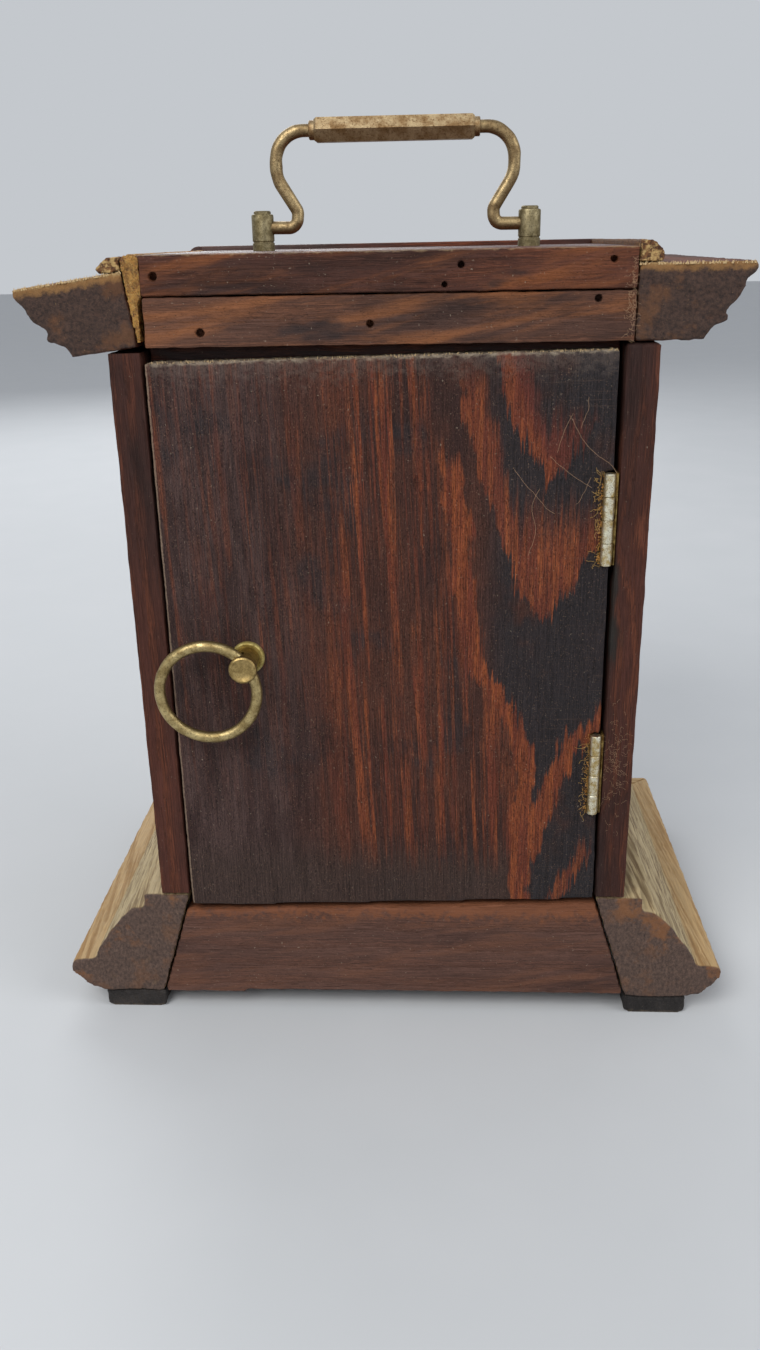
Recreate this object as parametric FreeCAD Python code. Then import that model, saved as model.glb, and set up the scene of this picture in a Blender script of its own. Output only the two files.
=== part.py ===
import FreeCAD, Part
import math
import os

# Wooden bracket clock, about 217 wide, 277 high and 153 deep over the knob of the ring pull.
# The frame: +Z up, the dial faces -Y, the back door faces +Y, left and right are
# named as seen from the dial.  The origin is under the middle of the base, on the
# surface that the clock stands on.  All sizes are in millimetres and degrees.

V = FreeCAD.Vector
X_AXIS = V(1, 0, 0)
Y_AXIS = V(0, 1, 0)
Z_AXIS = V(0, 0, 1)

# ---------------------------------------------------------------- driving sizes
CASE_W = 150.0            # over the two side boards
CASE_D = 108.0            # from the front door's face to the back door's face
BACK_Y = 65.0             # back face of the case
CASE_BOTTOM = 44.5        # top of the base moulding, where the side boards stand
CASE_TOP = 216.5          # top of the side boards
BOARD_T = 9.5             # side boards
RIGHT_BOARD_SHORT = 0.9   # the right side board stops this much lower
BASE_PROJECTION = 33.5    # base moulding beyond the case
CORNICE_PROJECTION = 31.0  # cornice beyond the frieze box
CORNICE_H = 20.1
FIT = 0.3                 # gap between fixed pieces that are let in
RUN = 0.05                # radial clearance of a running fit
OVERCUT = 5.0             # how far a cutting tool runs past a face
TURNED_SIDES = 8          # flat sides of small turned pieces

# frieze box on top of the case
FRIEZE_IN_LEFT = 7.3      # outer faces inside the side boards' faces, a little off centre
FRIEZE_IN_RIGHT = 10.6
FRIEZE_SET_BACK = 7.3     # front board behind the front door's face
FRIEZE_H = 24.2
FRIEZE_T = 10.0
RAIL_SEAM = 13.4          # height of the lower back rail board
RAIL_GAP = 0.3
TOP_PANEL_T = 6.0
TOP_BOARD_T = 10.0
TOP_BOARD_BACK = 8.5      # its back edge in front of the case's back face

# cornice and beads
CORNICE_TILT = 8.0        # the right length has dropped outwards
CORNICE_SLIP = 2.1        # and stands this far off the box at its foot
CORNICE_LIFT = 1.25       # foot of the dropped length over its side board
MITRE_OPEN = 0.5
BEAD_H = 5.6
WORN_BEAD_H = 3.8
GLUE_BACK = 1.0           # old glue stops this far in front of the back face

# base
BASE_INNER = 9.1          # inner top edge of the moulding inside the case face
BASE_BOTTOM = 6.5
BASE_LEAN = 11.5          # how far the inner face leans out towards the bottom
BACK_BOARD_T = 10.0
BACK_BOARD_TOP_DROP = (1.6, 5.6)     # its top under the base's, left and right
BACK_BOARD_BOTTOM_RISE = (1.4, 0.3)  # its bottom over the base's
FLOOR_DROP = 2.5          # floor board's top under the top of the base
FLOOR_T = 8.0
FOOT_W = 20.5
FOOT_L = 20.0
FOOT_INSET = 11.0         # foot behind the moulding's nose
FOOT_ROUND = 1.6

# back door
DOOR_T = 8.0
DOOR_TOP_DROP = (1.6, 3.6)     # its top under the side boards' top, left and right
DOOR_BOTTOM_DROP = (0.1, 3.9)  # its bottom under the top of the base
DOOR_GAP_TOP = 1.6        # at the hinged edge, top and bottom
DOOR_GAP_BOTTOM = 0.6
LATCH_GAP = 0.4
LATCH_BEVEL = 1.2
HINGE_IN = 2.5            # hinge axis inside the side board's inner face
HINGE_OUT = 0.6           # hinge axis behind the case's back face
HINGE_L = 26.4
HINGE_RISE = 44.5         # middle of the lower hinge over the top of the base
HINGE_DROP = 48.0         # middle of the upper hinge under the side boards' top
KNUCKLES = 4
KNUCKLE_R = 1.6
KNUCKLE_SIDES = 12
KNUCKLE_GAP = 0.12
HINGE_PIN_R = 0.7
LEAF_T = 0.8
LEAF_D = 7.4

# ring pull
PULL_IN = 24.1            # knob from the side board's inner face
PULL_RISE = 82.9          # knob over the top of the base
ROSETTE_R = 5.0
ROSETTE_T = 1.5
STEM_R = 3.4
HEAD_R = 4.15
HEAD_T = 1.9
PULL_PROJECTION = 11.8    # head's face from the door
RING_R = 14.55            # middle of the wire
RING_WIRE_R = 1.7
RING_OFF = 6.4            # middle of the wire from the door
RING_HANG = 37.4          # the ring's centre hangs this far below level
RING_SIDES = 8            # flat sides of the wire, and straight runs round the ring
RING_STEPS = 32
PULL_SIDES = 16           # flat sides of the rosette and the knob
RING_BORE_PLAY = 0.35

# carrying handle
HANDLE_X = -2.5
HANDLE_Y = 11.0
POST_SPACING = 81.0
POST_R = 3.35
POST_H = 10.4
POST_CAP_R = 2.6
POST_CAP_H = 1.0
POST_SIDES = 10
BAIL_SIDES = 8            # flat sides of the wire, and degrees between its bends
BAIL_STEP = 18.0
PIVOT_H = 6.5             # pivot over the top panel
BAIL_R = 1.9
BAIL_RISE = 26.7          # grip over the pivots
GRIP_SHORT = 30.4
GRIP_L = POST_SPACING - GRIP_SHORT
GRIP_ACROSS = 6.7
GRIP_COLLAR_R = 2.7
GRIP_COLLAR_L = 1.6
POST_THREAD_R = 2.0
NUT_ACROSS = 8.0
NUT_H = 3.0

# front door
FRONT_DOOR_T = 9.5
FRONT_DOOR_GAP = 0.5
STILE_W = 16.0
RAIL_W = 18.0
GLASS_T = 1.6
GLASS_REBATE = 3.5
GLASS_REBATE_D = 5.0
FRONT_PIVOT_IN = 3.0      # front door's pivot from the case's side and door's back
FRONT_PIN_R = 1.5
FRONT_PIN_L = 16.0
FRONT_KNOB_R = 4.5
FRONT_KNOB_L = 10.0

# dial and hands
DIAL_DROP = 2.5           # dial's centre under the middle of the side boards
DIAL_R = 54.0
DIAL_T = 1.0
DIAL_SIDES = 60
DIAL_PANEL_T = 3.0
DIAL_FACE = 15.0          # dial behind the front door's face
DIAL_HOLE_R = 6.0
WINDING_HOLE_R = 4.5
HAND_T = 0.6
MINUTE_HAND_L = 44.0
HOUR_HAND_L = 30.0
MINUTE_ANGLE = 54.0       # the hands show nine minutes past ten
HOUR_ANGLE = 304.5

# movement
PLATE_HALF_H = 58.0       # plates above and below the dial's centre
SEAT_T = 8.0
CLEAT = 8.0
PLATE_T = 2.0
PLATE_SPACE = 28.0
FRONT_PLATE_BEHIND = 10.0  # front plate behind the dial panel
PLATE_HALF_W = 29.0
PLATE_SHOULDER = 22.0
PILLAR_R = 2.4
ARBOR_R = 1.2
PIVOT_R = 0.8
CENTER_R = 1.5
TRAIN_MODULE = (1.0, 0.7, 0.65, 0.8)   # great, centre, third and fourth wheels
TRAIN_WHEELS = (48, 48, 36, 24)
TRAIN_PINIONS = (8, 6, 6, 6)           # centre, third, fourth and escape pinions
ESCAPE_TEETH = 30
ESCAPE_R = 10.0
MOTION_MODULE = 0.62
HOUR_MODULE = 0.496
CANNON_LEAVES = 12
MINUTE_TEETH = 36
MINUTE_LEAVES = 12
HOUR_TEETH = 48
WHEEL_T = 1.4
MOTION_STUD_R = 1.2
CLICK_STUD_R = 1.0
BARREL_PIVOT_R = 2.5
BARREL_ARBOR_R = 3.5
CANNON_PIPE_R = 2.3
HOUR_PIPE_R = 3.4
PINION_L = 3.6
BARREL_R = 20.0
BARREL_L = 17.0
BARREL_WALL = 1.2
DRUM_SIDES = 24
RATCHET_R = 8.0
RATCHET_TEETH = 12
RATCHET_DEPTH = 1.6
PENDULUM_L = 97.0
BOB_R = 13.0
BOB_T = 7.0
PENDULUM_OFF = 7.0        # pendulum behind the back plate
ROD_R = 1.0

# ---------------------------------------------------------------- worked-out places
HALF_W = CASE_W / 2
FRONT_Y = BACK_Y - CASE_D
INNER_X = HALF_W - BOARD_T
FRIEZE_LEFT = -HALF_W + FRIEZE_IN_LEFT
FRIEZE_RIGHT = HALF_W - FRIEZE_IN_RIGHT
FLOOR_TOP = CASE_BOTTOM - FLOOR_DROP
HINGE_Z = (CASE_BOTTOM + HINGE_RISE, CASE_TOP - HINGE_DROP)
PULL_X = INNER_X - PULL_IN
PULL_Z = CASE_BOTTOM + PULL_RISE
DIAL_Z = (CASE_BOTTOM + CASE_TOP) / 2 - DIAL_DROP
SEAT_TOP = DIAL_Z - PLATE_HALF_H
PLATE_TOP = DIAL_Z + PLATE_HALF_H
FRIEZE_TOP = CASE_TOP + FRIEZE_H
FRIEZE_FRONT = FRONT_Y + FRIEZE_SET_BACK
CORNICE_FOOT = CASE_TOP - RIGHT_BOARD_SHORT + CORNICE_LIFT
CORNICE_RIGHT_X = FRIEZE_RIGHT + CORNICE_SLIP
BOARD_FRONT = FRONT_Y + FRONT_DOOR_T + FRONT_DOOR_GAP
HINGE_X = -INNER_X + HINGE_IN
HINGE_Y = BACK_Y + HINGE_OUT
DIAL_Y = FRONT_Y + DIAL_FACE
PLATE_FRONT = DIAL_Y + DIAL_T + DIAL_PANEL_T + FRONT_PLATE_BEHIND
FRONT_INNER = PLATE_FRONT + PLATE_T
BACK_INNER = FRONT_INNER + PLATE_SPACE
PLATE_BACK = BACK_INNER + PLATE_T
RING_Y = BACK_Y + RING_OFF


# ---------------------------------------------------------------- small helpers
def box(x0, x1, y0, y1, z0, z1):
    return Part.makeBox(x1 - x0, y1 - y0, z1 - z0, V(x0, y0, z0))


def rod(radius, start, direction, length):
    return Part.makeCylinder(radius, length, start, direction)


def rod_y(radius, x, z, y0, y1):
    return rod(radius, V(x, y0, z), Y_AXIS, y1 - y0)


def outline(points, place):
    """Closed face: a plain pair is a straight run, a pair of pairs is an arc (mid, end)."""
    edges = []
    last = points[0]
    for step in points[1:] + [points[0]]:
        is_arc = isinstance(step[0], tuple)
        end = step[1] if is_arc else step
        if is_arc:
            edges.append(Part.Arc(place(*last), place(*step[0]), place(*end)).toShape())
        elif (place(*end) - place(*last)).Length > 1e-6:
            edges.append(Part.LineSegment(place(*last), place(*end)).toShape())
        last = end
    return Part.Face(Part.Wire(edges))


def slab_xz(points, y0, y1):
    face = outline(points, lambda x, z: V(x, y0, z))
    return face.extrude(V(0, y1 - y0, 0))


def slab_xy(points, z0, z1):
    face = outline(points, lambda x, y: V(x, y, z0))
    return face.extrude(V(0, 0, z1 - z0))


def faceted(rings, joined=False):
    """Solid with flat faces between rings of points; its ends are closed unless joined."""
    faces = []
    count = len(rings[0])
    loops = zip(rings, rings[1:] + ([rings[0]] if joined else []))
    for low, high in loops:
        for i in range(count):
            j = (i + 1) % count
            corners = [low[i], low[j], high[j], high[i]]
            kept = [c for k, c in enumerate(corners) if (c - corners[k - 1]).Length > 1e-7]
            if len(kept) > 2:
                faces.append(Part.Face(Part.makePolygon(kept + [kept[0]])))
    if not joined:
        for ring in (rings[0], rings[-1]):
            if (ring[0] - ring[1]).Length > 1e-7:
                faces.append(Part.Face(Part.makePolygon(ring + [ring[0]])))
    solid = Part.Solid(Part.Shell(faces))
    if solid.Volume < 0:
        solid.reverse()
    return solid


def circle_points(centre, across, side, radius, sides):
    points = []
    for i in range(sides):
        a = 2 * math.pi * (i + 0.5) / sides
        points.append(centre + across * (radius * math.cos(a)) + side * (radius * math.sin(a)))
    return points


def turned(points, origin, axis, across, sides=0):
    """Turned piece with flat sides: (radius, height) pairs from one end to the other."""
    side = axis.cross(across)
    rings = [circle_points(origin + axis * h, across, side, r, sides or TURNED_SIDES)
             for r, h in points]
    return faceted(rings)


def polygon_bar(sides, radius, start, direction, across, length):
    ring = circle_points(start, across, direction.cross(across), radius, sides)
    return Part.Face(Part.makePolygon(ring + [ring[0]])).extrude(direction * length)


def bar_y(radius, x, z, y0, y1, sides=0):
    """Flat-sided round bar; the movement's arbors and drums are made of these."""
    return polygon_bar(sides or TURNED_SIDES, radius, V(x, y0, z), Y_AXIS, Z_AXIS, y1 - y0)


def hole_y(radius, x, z, y0, y1, sides=0):
    """Flat-sided hole that a round bar of the radius fits."""
    count = sides or TURNED_SIDES
    return bar_y(radius / math.cos(math.pi / count), x, z, y0 - OVERCUT, y1 + OVERCUT, count)


def upright_pin(radius, x, y, z0, length):
    return polygon_bar(TURNED_SIDES, radius, V(x, y, z0), Z_AXIS, X_AXIS, length)


def upright_hole(radius, x, y, z0, length):
    return upright_pin(radius / math.cos(math.pi / TURNED_SIDES), x, y, z0, length)


def ring_y(outer, inner, x, z, y0, y1, sides=0):
    return bar_y(outer, x, z, y0, y1, sides).cut(hole_y(inner, x, z, y0, y1, sides))


def fuse(shapes):
    return shapes[0].multiFuse(shapes[1:]).removeSplitter() if len(shapes) > 1 else shapes[0]


def group(shapes):
    return Part.makeCompound(shapes)


def polar(x, z, radius, angle):
    """A point on a circle, with the angle clockwise from the top as the dial shows it."""
    a = math.radians(angle)
    return x + radius * math.sin(a), z + radius * math.cos(a)


def bearing(x0, z0, x1, z1):
    return math.degrees(math.atan2(x1 - x0, z1 - z0))


# ---------------------------------------------------------------- toothed wheels
TOOTH_TIP = 0.85          # addendum and dedendum in modules
TOOTH_ROOT = 1.25
TOOTH_ROOT_SHARE = 0.80   # of the pitch, at the root


def toothed(teeth, module, x, z, y0, y1, tooth_at, bore=0.0):
    """Wheel or pinion with pointed teeth, one of them at the bearing tooth_at."""
    pitch_r = teeth * module / 2
    root = pitch_r - TOOTH_ROOT * module
    tip = pitch_r + TOOTH_TIP * module
    step = 360.0 / teeth
    corners = []
    for i in range(teeth):
        middle = tooth_at + i * step
        for radius, angle in ((root, middle - step * TOOTH_ROOT_SHARE / 2), (tip, middle),
                              (root, middle + step * TOOTH_ROOT_SHARE / 2)):
            px, pz = polar(x, z, radius, angle)
            corners.append(V(px, y0, pz))
    blank = Part.Face(Part.makePolygon(corners + [corners[0]])).extrude(V(0, y1 - y0, 0))
    if bore:
        blank = blank.cut(hole_y(bore, x, z, y0, y1))
    return blank


def crossed_out(gear, x, z, rim, hub, y0, y1, spokes=4, spoke_w=2.4):
    """Cut the windows between the spokes of a wheel; their outer edge has three flats."""
    far = math.degrees(math.asin(spoke_w / 2 / rim))
    near = math.degrees(math.asin(spoke_w / 2 / hub))
    for i in range(spokes):
        low = i * 360.0 / spokes
        high = (i + 1) * 360.0 / spokes
        third = (high - low - 2 * far) / 3
        window = [polar(x, z, rim, low + far + third * k) for k in range(4)]
        window += [polar(x, z, hub, high - near), polar(x, z, hub, low + near)]
        gear = gear.cut(slab_xz(window, y0 - 1, y1 + 1))
    return gear


def arbor(x, z, y0, y1):
    """Arbor between the plates, with a round pivot in the front plate and a faceted one in the back."""
    return [rod_y(PIVOT_R, x, z, y0 - PLATE_T, y0 + 0.2), bar_y(ARBOR_R, x, z, y0 + 0.2, y1 - 0.2),
            bar_y(PIVOT_R, x, z, y1 - 0.2, y1 + PLATE_T)]


# ---------------------------------------------------------------- case
def side_board(side):
    top = CASE_TOP - (RIGHT_BOARD_SHORT if side > 0 else 0.0)
    xs = sorted((side * INNER_X, side * HALF_W))
    return box(xs[0], xs[1], BOARD_FRONT, BACK_Y, CASE_BOTTOM, top)


def case_top_board():
    x = INNER_X - FIT
    back = BACK_Y - TOP_BOARD_BACK
    return box(-x, x, BOARD_FRONT, back, CASE_TOP - TOP_BOARD_T, CASE_TOP)


def case_floor_board():
    def edge(z):
        return HALF_W - BASE_INNER + (CASE_BOTTOM - z) * BASE_LEAN / (CASE_BOTTOM - BASE_BOTTOM) - FIT
    low = FLOOR_TOP - FLOOR_T
    ends = [(-edge(low), low), (edge(low), low), (edge(FLOOR_TOP), FLOOR_TOP),
            (-edge(FLOOR_TOP), FLOOR_TOP)]
    return slab_xz(ends, FRONT_Y + BASE_INNER + FIT, BACK_Y - BACK_BOARD_T)


def frieze_boards():
    back = BACK_Y - FRIEZE_T
    inside = FRIEZE_FRONT + FRIEZE_T
    front = box(FRIEZE_LEFT, FRIEZE_RIGHT, FRIEZE_FRONT, inside, CASE_TOP, FRIEZE_TOP)
    left = box(FRIEZE_LEFT, FRIEZE_LEFT + FRIEZE_T, inside, back, CASE_TOP, FRIEZE_TOP)
    right = box(FRIEZE_RIGHT - FRIEZE_T, FRIEZE_RIGHT, inside, back, CASE_TOP, FRIEZE_TOP)
    return group([front, left, right])


def back_rail(low, high):
    return box(FRIEZE_LEFT, FRIEZE_RIGHT, BACK_Y - FRIEZE_T, BACK_Y, CASE_TOP + low, CASE_TOP + high)


def top_panel():
    x0 = FRIEZE_LEFT + FRIEZE_T + FIT
    x1 = FRIEZE_RIGHT - FRIEZE_T - FIT
    y0 = FRIEZE_FRONT + FRIEZE_T + FIT
    panel = box(x0, x1, y0, BACK_Y - FRIEZE_T - FIT, FRIEZE_TOP - TOP_PANEL_T, FRIEZE_TOP)
    for x in post_places():
        panel = panel.cut(upright_hole(POST_THREAD_R + RUN, x, HANDLE_Y, FRIEZE_TOP - 20, 40))
    return panel


# ---------------------------------------------------------------- mouldings
def cornice_profile():
    """Outline of the cornice: pairs of (outwards, upwards) from its inner foot."""
    out = CORNICE_PROJECTION
    return [(0, 0), (18.4, 0.3), (19.5, 2.6), ((21.3, 4.1), (23.5, 4.9)), ((24.4, 6.1), (23.2, 7.4)),
            (21.7, 7.8), (23.6, 8.0), ((26.5, 10.5), (28.3, 14.0)), (28.5, 15.8),
            ((30.2, 16.8), (out, 18.5)), (out - 0.5, CORNICE_H), (0, CORNICE_H)]


def bead_profile(height):
    return [(0, 0), (6.0, 0), (6.7, 1.4), ((4.9, height * 0.8), (0.8, height)), (0, height)]


def base_profile():
    """Outline of the base moulding: pairs of (outwards from the case, upwards)."""
    nose = BASE_PROJECTION
    top = CASE_BOTTOM
    low = BASE_BOTTOM
    lip = nose - 9.0
    return [(-BASE_INNER, top), (6.0, top), (6.2, top - 5.1), (10.6, top - 5.3),
            ((18.4 * nose / 33.5, top - 14.0), (lip, top - 23.5)), (lip + 0.2, top - 25.3),
            (nose - 1.8, low + 12.2), ((nose, low + 9.7), (nose - 1.0, low + 6.9)),
            (nose - 6.9, low + 1.2), (nose - 9.8, low + 1.0), (nose - 10.0, low), (BASE_LEAN - BASE_INNER, low)]


def far_corner(corner_x, corner_y, side, reach):
    """Point on the mitre line out of a front corner of the case."""
    return corner_x + side * reach, corner_y - reach


def side_length(profile, corner_x, corner_y, side, foot_z):
    """Moulding along one side, mitred at the front."""
    points = [tuple(p) for p in profile]

    def place(out, up):
        return V(corner_x + side * out, corner_y - 60, foot_z + up)
    bar = outline(points, place).extrude(V(0, BACK_Y - corner_y + 60, 0))
    keep = slab_xy([far_corner(corner_x, corner_y, side, -40), far_corner(corner_x, corner_y, side, 60),
                    (corner_x + side * 60, BACK_Y + OVERCUT), (corner_x - side * 40, BACK_Y + OVERCUT)],
                   -10, 300)
    return bar.common(keep)


def front_length(profile, left_x, right_x, corner_y, foot_z):
    """Moulding along the front, mitred at both ends."""
    def place(out, up):
        return V(left_x - 60, corner_y - out, foot_z + up)
    bar = outline(list(profile), place).extrude(V(right_x - left_x + 120, 0, 0))
    keep = slab_xy([far_corner(left_x, corner_y, -1, -40), far_corner(left_x, corner_y, -1, 60),
                    far_corner(right_x, corner_y, 1, 60), far_corner(right_x, corner_y, 1, -40)],
                   -10, 300)
    return bar.common(keep)


def droop(shape):
    """Lean a piece of the right-hand cornice outwards about its inner foot."""
    leaning = shape.copy()
    leaning.rotate(V(CORNICE_RIGHT_X, 0, CORNICE_FOOT), Y_AXIS, CORNICE_TILT)
    return leaning


def cornice(side):
    if side < 0:
        bar = side_length(cornice_profile(), FRIEZE_LEFT, FRIEZE_FRONT, -1, CASE_TOP)
        return bar.cut(front_pin_holes(0)[1])
    bar = side_length(cornice_profile(), CORNICE_RIGHT_X, FRIEZE_FRONT + MITRE_OPEN, 1, CORNICE_FOOT)
    return droop(bar)


def cornice_front():
    return front_length(cornice_profile(), FRIEZE_LEFT, CORNICE_RIGHT_X, FRIEZE_FRONT, CASE_TOP)


def top_bead(side):
    foot = CASE_TOP + CORNICE_H
    if side < 0:
        return side_length(bead_profile(BEAD_H), FRIEZE_LEFT, FRIEZE_FRONT, -1, foot)
    bar = side_length(bead_profile(WORN_BEAD_H), CORNICE_RIGHT_X, FRIEZE_FRONT + MITRE_OPEN, 1,
                      CORNICE_FOOT + CORNICE_H)
    return droop(bar)


def top_bead_front():
    foot = CASE_TOP + CORNICE_H
    return front_length(bead_profile(BEAD_H), FRIEZE_LEFT, CORNICE_RIGHT_X, FRIEZE_FRONT, foot)


def glue_wedge():
    """Old glue between the frieze box and the dropped cornice, open at its foot."""
    slope = math.tan(math.radians(CORNICE_TILT))
    low = CORNICE_FOOT + 1.5
    high = FRIEZE_TOP - 1.4

    def face(z):
        return CORNICE_RIGHT_X + (z - CORNICE_FOOT) * slope - 0.05
    touch = CASE_TOP + RAIL_SEAM
    points = [(face(low) - 1.1, low), (face(low), low), (face(high), high),
              ((FRIEZE_RIGHT + 2.6, high + 1.6), (FRIEZE_RIGHT, high + 1.0)), (FRIEZE_RIGHT, touch),
              (FRIEZE_RIGHT + 0.9, touch - 1.5)]
    return slab_xz(points, FRIEZE_FRONT + FIT, BACK_Y - GLUE_BACK)


def base_moulding(side):
    bar = side_length(base_profile(), side * HALF_W, FRONT_Y, side, 0)
    return bar.cut(front_pin_holes(0)[0]) if side < 0 else bar


def base_back_board():
    def edge(z):
        lean = (CASE_BOTTOM - z) * BASE_LEAN / (CASE_BOTTOM - BASE_BOTTOM)
        return HALF_W - BASE_INNER + lean - FIT
    low = [BASE_BOTTOM + rise for rise in BACK_BOARD_BOTTOM_RISE]
    high = [CASE_BOTTOM - drop for drop in BACK_BOARD_TOP_DROP]
    ends = [(-edge(low[0]), low[0]), (edge(low[1]), low[1]),
            (edge(high[1]), high[1]), (-edge(high[0]), high[0])]
    return slab_xz(ends, BACK_Y - BACK_BOARD_T, BACK_Y)


def feet():
    outer_x = HALF_W + BASE_PROJECTION - FOOT_INSET
    front = FRONT_Y - BASE_PROJECTION + FOOT_INSET
    blocks = []
    for side in (-1, 1):
        xs = sorted((side * outer_x, side * (outer_x - FOOT_W)))
        for y in (front, BACK_Y - 0.5 - FOOT_L):
            r = FOOT_ROUND
            k = r * (1 - math.sqrt(0.5))
            ends = [(xs[0], BASE_BOTTOM), (xs[0], r), (xs[0] + k, k), (xs[0] + r, 0),
                    (xs[1] - r, 0), (xs[1] - k, k), (xs[1], r), (xs[1], BASE_BOTTOM)]
            blocks.append(slab_xz(ends, y, y + FOOT_L))
    return group(blocks)


# ---------------------------------------------------------------- back door
def hinge_spans():
    return [(z - HINGE_L / 2, z + HINGE_L / 2) for z in HINGE_Z]


def back_door_panel():
    face = BACK_Y
    inner = BACK_Y - DOOR_T
    latch = INNER_X - LATCH_GAP
    points = [(-INNER_X + DOOR_GAP_BOTTOM, CASE_BOTTOM - DOOR_BOTTOM_DROP[0]),
              (latch, CASE_BOTTOM - DOOR_BOTTOM_DROP[1]), (latch, CASE_TOP - DOOR_TOP_DROP[1]),
              (-INNER_X + DOOR_GAP_TOP, CASE_TOP - DOOR_TOP_DROP[0])]
    panel = slab_xz(points, inner, face)
    bevel = slab_xy([(latch - LATCH_BEVEL, inner), (latch + 1, inner - 1),
                     (latch + 1, face - 1), (latch, face - 1)], 0, 300)
    panel = panel.cut(bevel)
    for z0, z1 in hinge_spans():
        panel = panel.cut(box(-INNER_X, door_leaf_x() + LEAF_T, inner - 1, face + 1, z0 - FIT, z1 + FIT))
    return panel.cut(hole_y(STEM_R / 2 + RUN, PULL_X, PULL_Z, inner, face, PULL_SIDES))


def door_leaf_x():
    return HINGE_X + KNUCKLE_R - LEAF_T


def hinge_leaves(door_side):
    """Leaves of both hinges, with every other knuckle of each."""
    parts = []
    size = (HINGE_L - KNUCKLE_GAP * (KNUCKLES - 1)) / KNUCKLES
    back = HINGE_Y - 0.2
    for z0, z1 in hinge_spans():
        x0 = door_leaf_x() if door_side else -INNER_X
        leaf = [box(x0, x0 + LEAF_T, back - LEAF_D, back, z0, z1)]
        for i in range(KNUCKLES):
            if (i % 2 == 0) != door_side:
                continue
            low = z0 + i * (size + KNUCKLE_GAP)
            barrel = polygon_bar(KNUCKLE_SIDES, KNUCKLE_R, V(HINGE_X, HINGE_Y, low), Z_AXIS, X_AXIS, size)
            xs = sorted((x0 + LEAF_T / 2, HINGE_X))
            leaf.append(barrel.fuse(box(xs[0], xs[1], back - LEAF_T, back, low, low + size)))
        solid = fuse(leaf)
        for i in range(KNUCKLES):
            if (i % 2 == 0) == door_side:
                continue
            low = z0 + i * (size + KNUCKLE_GAP) - KNUCKLE_GAP
            room = KNUCKLE_R + KNUCKLE_GAP
            solid = solid.cut(box(HINGE_X - room, HINGE_X + room, HINGE_Y - room, HINGE_Y + room, low,
                                  low + size + 2 * KNUCKLE_GAP))
        bore = HINGE_PIN_R + (RUN if door_side else 0)
        parts.append(solid.cut(upright_hole(bore, HINGE_X, HINGE_Y, z0 - 1, HINGE_L + 2)))
    return group(parts)


def hinge_pins():
    return group([rod(HINGE_PIN_R, V(HINGE_X, HINGE_Y, z0), Z_AXIS, HINGE_L) for z0, z1 in hinge_spans()])


def ring_pull_rosette():
    foot = V(PULL_X, BACK_Y, PULL_Z)
    r = ROSETTE_R
    t = ROSETTE_T
    points = [(0, 0), (r, 0), (r, t * 0.6), (r - 0.5, t), (r - 0.9, t), (r - 1.4, t * 0.6), (0, t * 0.6)]
    rosette = turned(points, foot, Y_AXIS, X_AXIS, PULL_SIDES)
    return rosette.cut(hole_y(STEM_R / 2 + RUN, PULL_X, PULL_Z, BACK_Y, BACK_Y, PULL_SIDES))


def ring_pull_knob():
    """Stem with a cross hole for the ring, a dished head and a spigot through the door."""
    foot = V(PULL_X, BACK_Y, PULL_Z)
    end = PULL_PROJECTION
    neck = end - HEAD_T
    seat = ROSETTE_T * 0.6
    spigot = STEM_R / 2
    points = [(0, -DOOR_T), (spigot, -DOOR_T), (spigot, seat), (STEM_R, seat), (STEM_R, neck),
              (HEAD_R, neck + 0.4), (HEAD_R, end - 0.3), (HEAD_R - 0.6, end),
              (HEAD_R - 1.2, end - 0.3), (0, end - 0.5)]
    knob = turned(points, foot, Y_AXIS, X_AXIS, PULL_SIDES)
    along = ring_axis()
    start = V(PULL_X, RING_Y, PULL_Z) - along * 10
    return knob.cut(rod(RING_WIRE_R + RING_BORE_PLAY, start, along, 20))


def ring_out():
    a = math.radians(RING_HANG)
    return V(math.cos(a), 0, -math.sin(a))


def ring_axis():
    out = ring_out()
    return V(-out.z, 0, out.x)


def pull_ring():
    centre = V(PULL_X, RING_Y, PULL_Z) + ring_out() * RING_R
    sections = []
    for i in range(RING_STEPS):
        a = 2 * math.pi * (i + 0.5) / RING_STEPS
        out = ring_out() * math.cos(a) + ring_axis() * math.sin(a)
        mitre = 1 / math.cos(math.pi / RING_STEPS)
        sections.append(circle_points(centre + out * (RING_R * mitre), out * mitre, Y_AXIS,
                                      RING_WIRE_R, RING_SIDES))
    return faceted(sections, joined=True)


# ---------------------------------------------------------------- carrying handle
def post_places():
    return [HANDLE_X - POST_SPACING / 2, HANDLE_X + POST_SPACING / 2]


def handle_posts():
    posts = []
    for x, inward in zip(post_places(), (1, -1)):
        foot = V(x, HANDLE_Y, FRIEZE_TOP)
        below = TOP_PANEL_T + NUT_H + 1.5
        groove = 2.2
        points = [(0, -below), (POST_THREAD_R, -below), (POST_THREAD_R, 0), (POST_R, 0),
                  (POST_R, groove), (POST_R - 0.3, groove + 0.3),
                  (POST_R, groove + 0.6), (POST_R, POST_H - 0.3), (POST_R - 0.3, POST_H), (POST_CAP_R, POST_H),
                  (POST_CAP_R, POST_H + POST_CAP_H - 0.3), (POST_CAP_R - 0.4, POST_H + POST_CAP_H),
                  (0, POST_H + POST_CAP_H)]
        post = turned(points, foot, Z_AXIS, X_AXIS, POST_SIDES)
        hole_start = V(x, HANDLE_Y, FRIEZE_TOP + PIVOT_H) - X_AXIS * (inward * POST_R * 0.45)
        posts.append(post.cut(rod(BAIL_R + RUN, hole_start, X_AXIS * inward, POST_R * 2)))
    return group(posts)


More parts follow.
